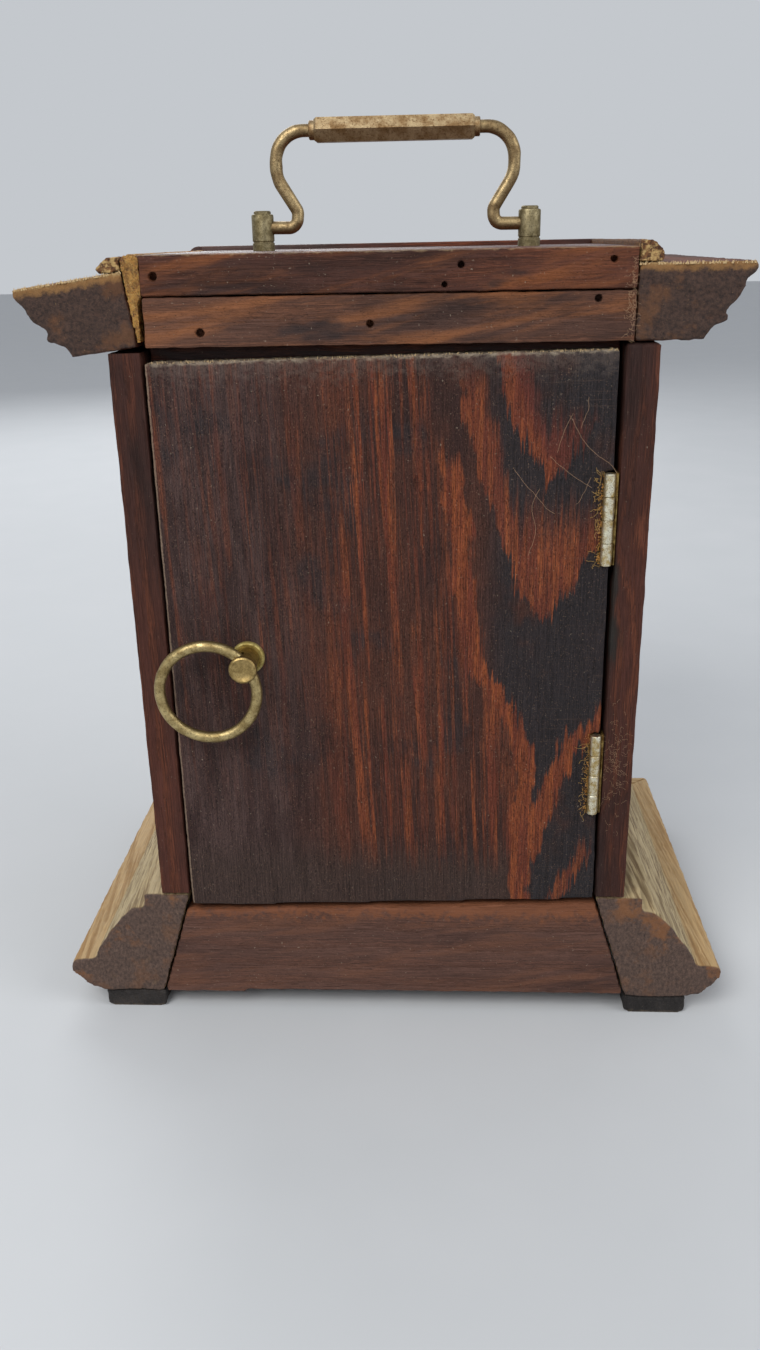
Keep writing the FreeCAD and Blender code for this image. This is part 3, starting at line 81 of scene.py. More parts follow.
# ---- node graphs
class Nodes:
    """Makes and links the nodes of one tree."""

    def __init__(self, tree):
        self.tree = tree
        tree.nodes.clear()

    def put(self, socket, value):
        if isinstance(value, bpy.types.NodeSocket):
            self.tree.links.new(value, socket)
        else:
            socket.default_value = value

    def node(self, kind, *values, **named):
        """A new node; values fill its first inputs in order, the rest go by name."""
        node = self.tree.nodes.new("ShaderNode" + kind)
        for socket, value in zip(node.inputs, values):
            self.put(socket, value)
        for key, value in named.items():
            self.put(node.inputs[key.replace("_", " ")], value)
        return node

    def math(self, op, a, b=0, clamp=False):
        node = self.node("Math", a, b)
        node.operation = op
        node.use_clamp = clamp
        return node.outputs[0]

    def plus(self, a, b):
        return self.math("ADD", a, b)

    def minus(self, a, b):
        return self.math("SUBTRACT", a, b)

    def times(self, *values):
        return functools.reduce(lambda a, b: self.math("MULTIPLY", a, b), values)

    def most(self, *values):
        return functools.reduce(lambda a, b: self.math("MAXIMUM", a, b), values)


class Graph(Nodes):
    """A material's nodes; positions are read in millimetres of the row frame.
    Colours are triples from 0 to 255, or linear with a fourth part."""

    def __init__(self, name, **constants):
        self.material = bpy.data.materials.new(name)
        self.material.use_nodes = True
        super().__init__(self.material.node_tree)
        self.shader = self.node("BsdfPrincipled", **constants)
        self.node("OutputMaterial", self.shader.outputs[0])
        self.p = self.vector("MULTIPLY", self.node("TexCoord").outputs["Object"], (1 / MM,) * 3)
        self.x, self.y, self.z = self.node("SeparateXYZ", self.p).outputs

    def vector(self, op, a, b):
        node = self.node("VectorMath", a, b)
        node.operation = op
        return node.outputs[0]

    def join(self, x, y, z):
        return self.node("CombineXYZ", x, y, z).outputs[0]

    def noise(self, stretch, offset, detail=3, rough=0.6, vector=None, distortion=0):
        """Noise from 0 to 1; stretch is how many features fall in a millimetre, or one such
        number each along x, y and z."""
        if not isinstance(stretch, tuple):
            stretch = (stretch,) * 3
        place = self.vector("MULTIPLY", vector or self.p, stretch)
        place = self.vector("ADD", place, (offset, offset * 1.7, offset * 0.6))
        return self.node("TexNoise", Vector=place, Scale=1, Detail=detail, Roughness=rough,
            Distortion=distortion).outputs["Fac"]

    def step(self, value, low, high):
        """0 below low and 1 above high, smooth between; low may be over high."""
        ends = (1, 0) if low > high else (0, 1)
        node = self.node("MapRange", value, min(low, high), max(low, high), *ends)
        node.interpolation_type = "SMOOTHSTEP"
        return node.outputs[0]

    def spots(self, low, high, *noise, **more):
        """Patches where a noise rises from low to high."""
        return self.step(self.noise(*noise, **more), low, high)

    def line(self, value, from_low, from_high, to_low, to_high):
        return self.node("MapRange", value, from_low, from_high, to_low, to_high).outputs[0]

    def spread(self, value, low, high):
        """The middle of a noise, from 0.3 to 0.7, drawn out from low to high."""
        return self.line(value, 0.3, 0.7, low, high)

    def mix(self, factor, a, b, blend="MIX"):
        node = self.node("Mix", factor)
        node.data_type = "RGBA"
        node.blend_type = blend
        for socket, value in zip(node.inputs[6:8], (a, b)):
            triple = isinstance(value, tuple) and len(value) == 3
            self.put(socket, srgb(*value) if triple else value)
        return node.outputs[2]

    def over(self, colour, tint, *amounts):
        """A tint laid over a colour, as strong as the product of the amounts."""
        return self.mix(self.times(*amounts), colour, tint)

    def shaded(self, colour, shade):
        return self.mix(1, colour, self.join(shade, shade, shade), "MULTIPLY")

    def follow(self, value, points):
        """A smooth curve through pairs of value and result, level beyond its ends."""
        low, high = points[0][0], points[-1][0]
        bottom, top = min(r for _, r in points), max(r for _, r in points)
        node = self.node("FloatCurve", Value=self.line(value, low, high, 0, 1))
        curve = node.mapping.curves[0].points
        spots = [((v - low) / (high - low), (r - bottom) / (top - bottom)) for v, r in points]
        curve[0].location, curve[1].location = spots[0], spots[-1]
        for spot in spots[1:-1]:
            curve.new(*spot)
        node.mapping.update()
        return self.line(node.outputs[0], 0, 1, bottom, top)

    def finish(self, colour, roughness, height, distance):
        bump = self.node("Bump", Strength=1, Distance=distance * MM, Height=height)
        for key, value in (("Base Color", colour), ("Roughness", roughness), ("Normal", bump.outputs[0])):
            self.put(self.shader.inputs[key], value)
        return self.material


def stretched(grain, along, across):
    return tuple(along if axis == grain else across for axis in "XYZ")


def grain_marks(g, grain, seed, fibre_scale=2.6):
    fibre = g.noise(stretched(grain, 0.07, fibre_scale), seed, 4)
    fine = g.noise(stretched(grain, 0.35, fibre_scale * 3), seed + 5, 2, 0.5)
    blotch = g.noise(stretched(grain, 0.012, 0.05), seed + 11, 4, 0.55)
    return fibre, fine, blotch


def dust(g, colour, amount, seed, scale, pale=(176, 160, 140)):
    speck = g.spots(0.66, 0.74, scale, seed, 3, 0.7)
    return g.over(colour, pale, speck, amount)


def stained(name, grain, centre, seed, dark, middle, bright, spacing=3.4, strength=0.75, worn=(),
        rough=(0.55, 0.8), coat=0, patches=None, dusty=0.35, glow=None):
    """Softwood with dark stain: rings round a pith line, fibres, blotches, specks and worn zones.
    centre: where the pith line crosses, as a pair on the two axes other than the grain.
    worn: (axis, from, to, colour, amount) turns that colour between two values of a coordinate.
    patches: (colour, threshold) for darker stains.
    glow: a warmer colour in smoky streaks."""
    g = Graph(name, Coat_Weight=coat, Coat_Roughness=0.3, Specular_IOR_Level=0.22)
    fibre, fine, blotch = grain_marks(g, grain, seed)
    sides = [s for s in "XYZ" if s != grain]
    coordinate = {"X": g.x, "Y": g.y, "Z": g.z}
    warp = g.spread(g.noise(stretched(grain, 0.013, 0.03), seed + 3, 2, 0.5), -6, 6)
    a, b = (g.plus(g.minus(coordinate[side], c), warp) for side, c in zip(sides, centre))
    ring = g.math("SQRT", g.plus(g.times(a, a), g.times(b, b)))
    jitter = g.spread(fibre, -0.35, 0.35)
    phase = g.plus(g.math("DIVIDE", ring, spacing), jitter)
    saw = g.math("FRACT", phase)
    late = g.times(g.step(saw, 0.45, 0.85), g.step(saw, 1, 0.93))
    varied = g.times(late, g.step(blotch, 0.35, 0.6), strength)
    base = g.mix(g.step(blotch, 0.32, 0.68), dark, middle)
    colour = g.mix(varied, base, bright)
    colour = g.shaded(colour, g.times(g.line(fibre, 0.25, 0.75, 0.55, 1.35), g.spread(fine, 0.8, 1.2)))
    if glow:
        tilt = g.join(g.x, g.y, g.plus(g.z, g.times(g.x, 0.16)))
        smoke = g.noise(stretched(grain, 0.022, 0.16), seed + 19, 4, 0.58, vector=tilt, distortion=0.4)
        colour = g.over(colour, glow, g.step(smoke, 0.44, 0.68), 0.62)
    if patches:
        stain = g.spots(patches[1], patches[1] + 0.1, stretched(grain, 0.02, 0.07), seed + 17, 4)
        colour = g.over(colour, patches[0], stain, 0.85)
    pores = g.spots(0.56, 0.68, stretched(grain, 1.5, 3.4), seed + 21, 3, 0.7)
    colour = g.over(colour, (24, 18, 17), pores, dusty)
    colour = dust(g, colour, dusty, seed + 7, 1.2)
    colour = dust(g, colour, dusty * 0.9, seed + 27, 3, (150, 118, 92))
    ragged = g.spread(g.noise(0.5, seed + 9, 4, 0.65), -1, 1)
    for axis, start, end, tint, amount in worn:
        spread = abs(end - start)
        moved = g.plus(coordinate[axis], g.times(ragged, spread * 0.7))
        colour = g.over(colour, tint, g.step(moved, start, end), amount)
    height = g.plus(g.times(fibre, 0.6), g.plus(g.times(fine, 0.3), g.times(late, 0.35)))
    return g.finish(colour, g.spread(fibre, rough[1], rough[0]), height, 0.35)


# Figure of the back door: each line gives x for a height z, both in millimetres.
RED_LEFT = ((179.6, -45.9), (191, -37.7), (202, -33.3), (214, -30.5))
RED_RIGHT = ((179.6, -45.9), (190, -55.6), (200.5, -62), (214, -70))
TONGUE_LEFT = ((136.7, -46), (156.8, -34.7), (174, -29.2), (194, -24), (214, -19.5))
TONGUE_RIGHT = ((136.7, -46), (156.8, -58.7), (168, -63), (214, -90))
LONG_BAND = ((43.5, -43.4), (61, -41.1), (92.9, -41.9), (113.5, -34.2), (128.8, -26.6), (156.8, -22),
    (214, -14))
LOW_ARM = ((57, -42.5), (84.5, -49.7), (103.4, -61), (116, -70))
LOW_PATCH = ((43, -51.5), (60, -60.5))


def door_wood():
    """The back door: flames with their tips downwards beside upright streaks."""
    g = Graph("door_wood", Specular_IOR_Level=0.2)
    fibre, fine, _ = grain_marks(g, "Z", 2)
    comb = g.noise((1.3, 0.4, 0.03), 15, 3, 0.62)
    sway = g.spread(g.noise((0.06, 0.05, 0.05), 4), -2.2, 2.2)
    z = g.plus(g.z, g.spread(comb, -5, 5))
    x = g.plus(g.x, sway)

    def inside(left, right):
        a = g.minus(g.follow(z, left), x)
        b = g.minus(x, g.follow(z, right))
        return a, g.times(g.step(a, 0, 0.9), g.step(b, 0, 0.9))

    def band(middle, half, foot, head):
        off = g.math("ABSOLUTE", g.minus(x, g.follow(z, middle)))
        wide = g.spread(g.noise((0.3, 0.2, 0.05), 27), -0.9, 0.9)
        return g.times(g.step(g.plus(off, wide), half + 0.6, half - 0.6), g.step(z, foot, foot + 4),
            g.step(z, head, head - 8))

    cloud = g.noise((0.045, 0.03, 0.022), 31, 4)
    red_edge, red = inside(RED_LEFT, RED_RIGHT)
    tongue_edge, tongue = inside(TONGUE_LEFT, TONGUE_RIGHT)
    fill = g.times(tongue, g.step(z, 178, 158), 0.9)
    arm = g.times(tongue, g.step(tongue_edge, 8.5, 5.5), g.step(g.z, 214, 200))
    red_arm = g.times(red, g.step(red_edge, 7, 3))
    red_fill = g.times(red, g.most(g.step(z, 201, 190), g.step(red_edge, 12, 6)))
    long_band = g.times(band(LONG_BAND, 3, 38, 190), g.step(cloud, 0.22, 0.42))
    low = g.most(band(LOW_ARM, 3.1, 54, 122), g.times(band(LOW_PATCH, 2.3, 42, 66), 0.8))
    flames = g.most(fill, g.times(arm, 0.85), long_band, low, g.times(red_arm, 0.7))
    beside = g.minus(x, g.follow(z, LONG_BAND))
    lean = g.plus(g.x, g.times(g.minus(g.z, 130), -0.045))
    streak_place = g.join(lean, g.y, g.z)
    wide_streak = g.spots(0.47, 0.58, (0.42, 0.3, 0.01), 21, 3, 0.62, vector=streak_place)
    thin_streak = g.spots(0.52, 0.62, (1.1, 0.5, 0.016), 24, vector=streak_place)
    middle = g.times(g.step(beside, 1.5, 4), g.step(g.x, 27, 5), g.step(g.z, 50, 72))
    left = g.times(g.step(g.x, 8, 30), g.step(g.z, 60, 150))
    broken = g.spots(0.32, 0.56, (0.12, 0.1, 0.03), 33, 4)
    streaks = g.math("ADD", g.times(wide_streak, broken, 0.82), g.times(thin_streak, 0.4), clamp=True)
    orange = g.most(flames, g.times(streaks, middle), g.times(streaks, left, 0.42))
    orange = g.times(orange, g.spread(fibre, 0.72, 1.1))
    ground = g.mix(g.step(cloud, 0.35, 0.65), (50, 31, 28), (74, 43, 33))
    # Painted sheen: towards positive x the ground turns greyer and lighter in cloudy streaks, standing in for
    # light lying on that part of the door.
    painted_sheen = g.spots(0.36, 0.62, (0.1, 0.1, 0.02), 85, 4)
    ground = g.mix(g.step(g.x, 12, 40), ground, g.mix(painted_sheen, (50, 33, 31), (74, 56, 53)))
    ground = g.over(ground, (62, 48, 43), g.step(g.z, 70, 52), 0.8)
    ground = g.over(ground, (92, 45, 36), red_fill, g.step(cloud, 0.2, 0.5))
    # Dark grey patches: a painted shadow, broken into patches, over the hinge side of the door beyond the
    # long band, and sparser patches of soot everywhere.
    shadow = g.times(g.step(g.x, -24, -36), g.step(beside, 2, -2), g.minus(1, red_fill))
    soot_and_shadow = g.most(g.times(shadow, g.spots(0.3, 0.46, (0.05, 0.03, 0.03), 41, 4)),
        g.times(g.spots(0.56, 0.66, 0.03, 43, 4), 0.7))
    ground = g.over(ground, (38, 36, 39), soot_and_shadow, 0.9)
    lit = g.mix(g.step(fine, 0.35, 0.65), (110, 52, 29), (146, 78, 42))
    lit = g.mix(g.spots(0.4, 0.6, (0.5, 0.3, 0.02), 35), lit, (104, 50, 34))
    colour = g.mix(orange, ground, lit)
    shade = g.times(g.line(fibre, 0.25, 0.75, 0.52, 1.42), g.spread(fine, 0.78, 1.22))
    colour = g.shaded(colour, shade)
    pores = g.spots(0.56, 0.68, (3.6, 3, 1.6), 45, 3, 0.7)
    colour = g.over(colour, (22, 16, 15), pores, 0.6)
    glint = g.spots(0.6, 0.7, (3.2, 3, 2.8), 48, 3, 0.75)
    colour = g.over(colour, (166, 132, 108), glint, 0.5)
    colour = dust(g, colour, 0.6, 51, 1.1)
    colour = dust(g, colour, 0.45, 61, 2.4, (150, 108, 70))
    saw_marks = g.spots(0.62, 0.7, (0.05, 0.1, 2.2), 66)
    colour = g.over(colour, (88, 70, 60), saw_marks, g.step(g.x, -30, -56), 0.35)
    ragged = g.spread(g.noise((0.35, 0.3, 0.6), 71, 4, 0.7), -1, 1)
    top_line = g.plus(g.z, g.times(g.x, DOOR_TOP_SLOPE))
    scuffed = g.step(g.plus(top_line, g.times(ragged, 5)), 206, 214)
    colour = g.over(colour, (112, 98, 90), scuffed, 0.3)
    top = g.step(g.plus(top_line, g.times(ragged, 0.8)), 212.7, 214.3)
    colour = g.over(colour, (164, 150, 130), top, 0.8)
    # Painted highlight: a thin pale line along the door's left arris at positive x, where the rounded edge
    # catches the light.
    painted_edge_highlight = g.step(g.plus(g.x, g.times(ragged, 0.15)), 64.25, 64.5)
    colour = g.over(colour, (150, 128, 108), painted_edge_highlight, 0.6)
    inner_face = g.step(g.y, 58.6, 57.4)
    plank = g.mix(g.spots(0.36, 0.64, (0.5, 0.3, 0.012), 81, 4, 0.62), (108, 72, 48), (136, 96, 66))
    plank = g.shaded(plank, shade)
    colour = g.over(colour, dust(g, plank, 0.3, 83, 1.4), inner_face, 0.9)
    height = g.plus(g.times(fibre, 0.7), g.plus(g.times(fine, 0.45), g.times(pores, -0.5)))
    return g.finish(colour, g.spread(fibre, 0.8, 0.55), height, 0.45)


def base_wood(name, grain):
    """Moulding of the base: bleached oak with painted shade browning the faces that point down, dark stained
    back ends with ochre edges.
    """
    g = Graph(name, Specular_IOR_Level=0.25)
    fibre, _, blotch = grain_marks(g, grain, 3, 1.8)
    if grain == "Y":
        slant = g.join(g.plus(g.x, g.times(g.y, 0.1)), g.y, g.z)
    else:
        slant = g.join(g.x, g.plus(g.y, g.times(g.x, 0.06)), g.z)
    lines = g.noise(stretched(grain, 0.022, 0.75), 13, vector=slant)
    oak = g.mix(g.step(lines, 0.36, 0.6), (112, 90, 62), (186, 166, 126))
    oak = g.over(oak, (164, 146, 108), g.step(blotch, 0.35, 0.7), 0.5)
    lip = g.step(g.z, 21, 18)
    oak = g.over(oak, (186, 142, 88), lip, 0.5)
    oak = g.shaded(oak, g.line(fibre, 0.25, 0.75, 0.74, 1.16))
    grit = g.noise((1.1, 0.6, 0.7), 23, 6, 0.75)
    end = g.mix(g.step(grit, 0.18, 0.82), (40, 32, 32), (110, 88, 76))
    patch = g.spots(0.5, 0.64, (0.1, 0.05, 0.1), 33, 4, 0.65)
    outwards = g.step(g.plus(g.math("ABSOLUTE", g.x), g.times(g.z, 1.15)), 108, 122)
    end = g.over(end, (128, 84, 50), g.most(g.times(patch, 0.35), g.times(outwards, patch)), 0.7)
    end = dust(g, end, 0.55, 43, 1.3, (150, 126, 100))
    is_end = g.step(g.y, 63.6, 64.6)
    colour = g.mix(is_end, oak, end)
    # Painted shade: faces that point down turn browner, except on the back ends.
    normal = g.node("SeparateXYZ", g.node("TexCoord").outputs["Normal"])
    painted_underside_shade = g.step(normal.outputs[2], -0.2, -0.6)
    colour = g.over(colour, (104, 78, 52), painted_underside_shade, g.minus(1, is_end))
    height = g.plus(g.times(fibre, 0.6), g.times(lines, 0.5))
    return g.finish(colour, g.spread(lines, 0.72, 0.5), height, 0.3)


def cornice_wood():
    """Cornice: reddish faces, speckled dark ends bordered with ochre."""
    g = Graph("cornice_wood", Specular_IOR_Level=0.25)
    fibre, _, blotch = grain_marks(g, "Y", 6)
    face = g.mix(g.step(blotch, 0.35, 0.65), (66, 36, 27), (104, 56, 34))
    face = g.shaded(face, g.line(fibre, 0.25, 0.75, 0.6, 1.3))
    grit = g.noise(0.9, 14, 6, 0.75)
    end = g.mix(g.step(grit, 0.22, 0.78), (28, 22, 22), (92, 70, 60))
    warm = g.spots(0.5, 0.64, (0.11, 0.1, 0.11), 24, 4, 0.65)
    end = g.over(end, (118, 78, 48), warm, 0.5)
    ragged = g.spread(g.noise(0.4, 34, 4, 0.7), -1, 1)
    out = g.math("ABSOLUTE", g.x)
    droop = g.times(g.step(g.x, 0, 1), g.minus(out, 66.5), 0.1405)
    upper = g.plus(g.plus(g.z, droop), g.times(ragged, 0.9))
    band = g.step(upper, CASE_TOP + 17.4, CASE_TOP + 19.2)
    end = g.over(end, (168, 124, 72), band, 0.6)
    fuzz = g.step(upper, CASE_TOP + 19.4, CASE_TOP + 20.6)
    end = g.over(end, (188, 160, 112), fuzz, 0.6)
    end = dust(g, end, 0.6, 44, 1.5, (172, 138, 92))
    is_end = g.step(g.y, 63.4, 64.6)
    colour = g.mix(is_end, face, end)
    height = g.plus(g.times(fibre, 0.6), g.times(grit, g.times(is_end, 1.6)))
    return g.finish(colour, g.spread(grit, 0.5, 0.8), height, 0.4)


def bead_wood():
    """Bead on the cornice: brown, with its worn top and ends pale gold in patches."""
    g = Graph("bead_wood", Specular_IOR_Level=0.25)
    fibre, _, _ = grain_marks(g, "Y", 16)
    grit = g.noise(0.9, 74, 6, 0.75)
    colour = g.mix(g.step(grit, 0.36, 0.64), (62, 38, 26), (124, 84, 50))
    patch = g.spots(0.47, 0.58, (0.5, 0.25, 0.5), 78, 5, 0.7)
    colour = g.over(colour, (196, 164, 108), patch, g.step(g.y, 58, 63), 0.8)
    colour = g.shaded(colour, g.line(fibre, 0.25, 0.75, 0.7, 1.25))
    return g.finish(colour, g.spread(grit, 0.6, 0.85), g.plus(grit, g.times(fibre, 0.4)), 0.4)


def glue_material():
    g = Graph("glue_material", Subsurface_Weight=0.15, Subsurface_Scale=0.002)
    lump = g.noise(0.55, 2, 5, 0.7)
    grit = g.noise(2.4, 8, 4, 0.7)
    colour = g.mix(g.step(lump, 0.35, 0.62), (112, 72, 28), (186, 138, 66))
    colour = g.over(colour, (214, 184, 124), g.step(grit, 0.56, 0.68), 0.7)
    colour = g.over(colour, (58, 36, 20), g.step(grit, 0.46, 0.34), 0.8)
    height = g.plus(g.times(lump, 1.2), grit)
    return g.finish(colour, g.spread(grit, 0.35, 0.8), height, 0.6)


def brass(name, bright, dull, patina, amount=0.5, rough=(0.28, 0.55), scale=0.35, seed=1, metal=1,
        brushed=None, bump=0.08):
    """Brass with tarnish in clouds and specks; brushed names the direction of its marks."""
    g = Graph(name, Metallic=metal)
    cloud = g.noise(scale, seed, 5, 0.65)
    speck = g.noise(scale * 6, seed + 4, 3, 0.7)
    marks = g.noise(stretched(brushed or "X", 0.3, 9) if brushed else (3, 3, 3), seed + 8)
    colour = g.mix(g.step(cloud, 0.35, 0.65), dull, bright)
    colour = g.over(colour, patina, g.step(speck, 0.52, 0.66), amount)
    colour = g.shaded(colour, g.spread(marks, 0.9, 1.08))
    rougher = g.plus(g.spread(cloud, rough[1], rough[0]), g.times(g.step(speck, 0.5, 0.7), 0.15))
    return g.finish(colour, rougher, g.plus(g.times(marks, 0.5), g.times(speck, 0.8)), bump)


def steel(name, tint, dark, rough=(0.22, 0.42), seed=1, direction="Y"):
    g = Graph(name, Metallic=1)
    marks = g.noise(stretched(direction, 0.2, 7), seed)
    cloud = g.noise(0.25, seed + 3, 4)
    colour = g.mix(g.step(cloud, 0.3, 0.7), dark, tint)
    colour = g.shaded(colour, g.spread(marks, 0.88, 1.08))
    return g.finish(colour, g.spread(marks, rough[0], rough[1]), marks, 0.03)


def silvered():
    g = Graph("silvered_dial", Metallic=0.55)
    marks = g.noise((0.5, 5, 5), 3)
    cloud = g.noise(0.05, 6, 4, 0.65)
    colour = g.mix(g.step(cloud, 0.35, 0.7), (214, 208, 190), (232, 229, 218))
    foxed = g.spots(0.66, 0.72, 0.4, 9, 4, 0.7)
    colour = g.over(colour, (150, 128, 90), foxed, 0.5)
    return g.finish(colour, g.spread(marks, 0.34, 0.5), marks, 0.03)


def clear_glass():
    g = Graph("clear_glass", Transmission_Weight=1, IOR=1.45)
    smear = g.noise((0.03, 0.03, 0.05), 5, 4)
    tint = g.mix(g.step(smear, 0.3, 0.7), (0.95, 0.97, 0.96, 1), (0.985, 0.99, 0.985, 1))
    return g.finish(tint, g.spread(smear, 0, 0.05), smear, 0.02)


def enamel(name, tint, seed):
    g = Graph(name)
    cloud = g.noise(1.5, seed)
    tint = srgb(*tint)
    paler = tuple(min(1, c * 1.6 + 0.004) for c in tint[:3]) + (1,)
    return g.finish(g.mix(cloud, tint, paler), g.spread(cloud, 0.35, 0.6), cloud, 0.03)


# ---- mesh helpers
def linked(name, data):
    obj = bpy.data.objects.new(name, data)
    bpy.context.scene.collection.objects.link(obj)
    return obj


def evaluated(obj):
    """A new mesh of the object as its modifiers or its text make it."""
    bpy.context.view_layer.update()
    return bpy.data.meshes.new_from_object(obj.evaluated_get(bpy.context.evaluated_depsgraph_get()))


def baked(obj):
    """Apply all modifiers of an object to its mesh."""
    final = evaluated(obj)
    obj.modifiers.clear()
    old = obj.data
    obj.data = final
    bpy.data.meshes.remove(old)
    return obj


def paint(obj, look):
    obj.data.materials.clear()
    obj.data.materials.append(MAT[look])


def dress(obj, look, body="clock_case", slot="dark_wood", replaced=(), smooth=True, angle=35):
    paint(obj, look)
    if smooth:
        obj.data.shade_smooth()
        obj.data.set_sharp_from_angle(angle=radians(angle))
    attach(obj, body)
    if replaced:
        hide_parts(*replaced)
    return obj


def built(name, build, mesh=None):
    """An object with a bmesh in its mesh; the bmesh is then freed."""
    mesh = mesh or bpy.data.meshes.new(name)
    build.to_mesh(mesh)
    build.free()
    return linked(name, mesh)


def new_object(name, verts, faces):
    mesh = bpy.data.meshes.new(name)
    mesh.from_pydata([tuple(Vector(v) * MM) for v in verts], [], faces)
    build = bmesh.new()
    build.from_mesh(mesh)
    bmesh.ops.remove_doubles(build, verts=build.verts, dist=1e-7)
    bmesh.ops.recalc_face_normals(build, faces=build.faces)
    return built(name, build, mesh)


def copy_node(node, name):
    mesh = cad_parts[node].data.copy()
    build = bmesh.new()
    build.from_mesh(mesh)
    bmesh.ops.remove_doubles(build, verts=build.verts, dist=1e-6)
    bmesh.ops.dissolve_limit(build, angle_limit=radians(1), verts=build.verts, edges=build.edges)
    return built(name, build, mesh)


def cut(obj, cutters):
    """Take the cutters, which are then removed, out of an object."""
    for cutter in cutters:
        step = obj.modifiers.new("cut", "BOOLEAN")
        step.operation = "DIFFERENCE"
        step.solver = "EXACT"
        step.object = cutter
    baked(obj)
    for cutter in cutters:
        bpy.data.objects.remove(cutter, do_unlink=True)
    return obj


def ring_of(centre, side, up, radius, count):
    turns = [2 * pi * i / count for i in range(count)]
    return [centre + (side * cos(a) + up * sin(a)) * radius for a in turns]


def skin(name, rings, closed=False):
    """An object with faces between rings of as many points each."""
    count = len(rings[0])
    verts = [v for ring in rings for v in ring]
    faces = []
    for k in range(len(rings) if closed else len(rings) - 1):
        a, b = k * count, ((k + 1) % len(rings)) * count
        for i in range(count):
            j = (i + 1) % count
            faces.append((a + i, a + j, b + j, b + i))
    if not closed:
        faces.append(tuple(reversed(range(count))))
        faces.append(tuple(range(len(verts) - count, len(verts))))
    return new_object(name, verts, faces)


def both_ends(half):
    """Profile of a turned piece whose lower half mirrors the given upper one."""
    return [(r, -h) for r, h in half] + half[::-1]


def turned(name, profile, origin, axis, across, sides=48):
    """Turned piece from (radius, height) pairs; a radius of 0 closes an end."""
    up = axis.cross(across)
    return skin(name, [ring_of(origin + axis * h, across, up, max(r, 0.001), sides) for r, h in profile])


def swept(points, radius, sides, closed=False, wobble=0, seed=0):
    """Rings of a round wire along points; wobble is its unevenness."""
    rings = []
    side = None
    for i, here in enumerate(points):
        before = points[i - 1] if i or closed else here
        after = points[(i + 1) % len(points)] if i + 1 < len(points) or closed else here
        along = (after - before).normalized()
        if side is None:
            side = along.cross(Y)
            side = side.normalized() if side.length > 0.2 else along.cross(X).normalized()
        side = (side - along * side.dot(along)).normalized()
        up = along.cross(side)
        size = radius[i] if isinstance(radius, list) else radius
        ring = ring_of(here, side, up, size, sides)
        if wobble:
            ring = [p + (p - here).normalized() * wobble * noise.noise(p * 0.35 + Vector((seed, 0, 0)))
                for p in ring]
        rings.append(ring)
    return rings


def bar(start, end, radius, sides=24):
    return skin("cutter", swept([start, end], radius, sides))


def block(name, low, high, bevel=0.3):
    """Box with rounded edges."""
    build = bmesh.new()
    bmesh.ops.create_cube(build, size=1)
    size = Vector(high) - Vector(low)
    middle = (Vector(high) + Vector(low)) / 2
    for v in build.verts:
        v.co = Vector((v.co.x * size.x, v.co.y * size.y, v.co.z * size.z)) + middle
        v.co *= MM
    bmesh.ops.bevel(build, geom=list(build.edges), offset=bevel * MM, segments=2, affect="EDGES", profile=0.5)
    return built(name, build)


def join(name, objects):
    """One mesh out of several objects."""
    build = bmesh.new()
    for obj in objects:
        build.from_mesh(obj.data)
        bpy.data.objects.remove(obj, do_unlink=True)
    return built(name, build)


def soften(node, width, look, body="clock_case", slot="dark_wood", segments=2, angle=28):
    """The node's own shape with its edges rounded over."""
    obj = copy_node(node, node + "_worn")
    step = obj.modifiers.new("edges", "BEVEL")
    step.width = width * MM
    step.segments = segments
    step.limit_method = "ANGLE"
    step.angle_limit = radians(angle)
    step.use_clamp_overlap = True
    return dress(baked(obj), look, body, slot, (node,))


def roughen(node, voxel, depth, scale, seed, look, body="clock_case", slot="dark_wood", holes=(), extra=None,
        keep=None):
    """The node's shape with an uneven, worn surface. depth is how far it wears in, in millimetres.
    extra adds to the wear at a point, keep multiplies it."""
    obj = copy_node(node, node + "_worn")
    low, high = ([end(v.co[k] for v in obj.data.vertices) for k in range(3)] for end in (min, max))
    if holes:
        cut(obj, list(holes))
    step = obj.modifiers.new("grid", "REMESH")
    step.mode = "VOXEL"
    step.voxel_size = voxel * MM
    baked(obj)
    mesh = obj.data
    normals = [v.normal.copy() for v in mesh.vertices]
    for v, n in zip(mesh.vertices, normals):
        p = v.co / MM
        wear = -depth * (0.5 + 0.9 * noise.fractal(p * scale + Vector((seed, seed * 2, 0)), 1, 2, 4))
        if extra:
            wear += extra(p)
        if keep:
            wear *= keep(p)
        v.co += n * (wear * MM)
        v.co = Vector([min(max(v.co[k], low[k]), high[k]) for k in range(3)])
    return dress(obj, look, body, slot, (node,), angle=60)


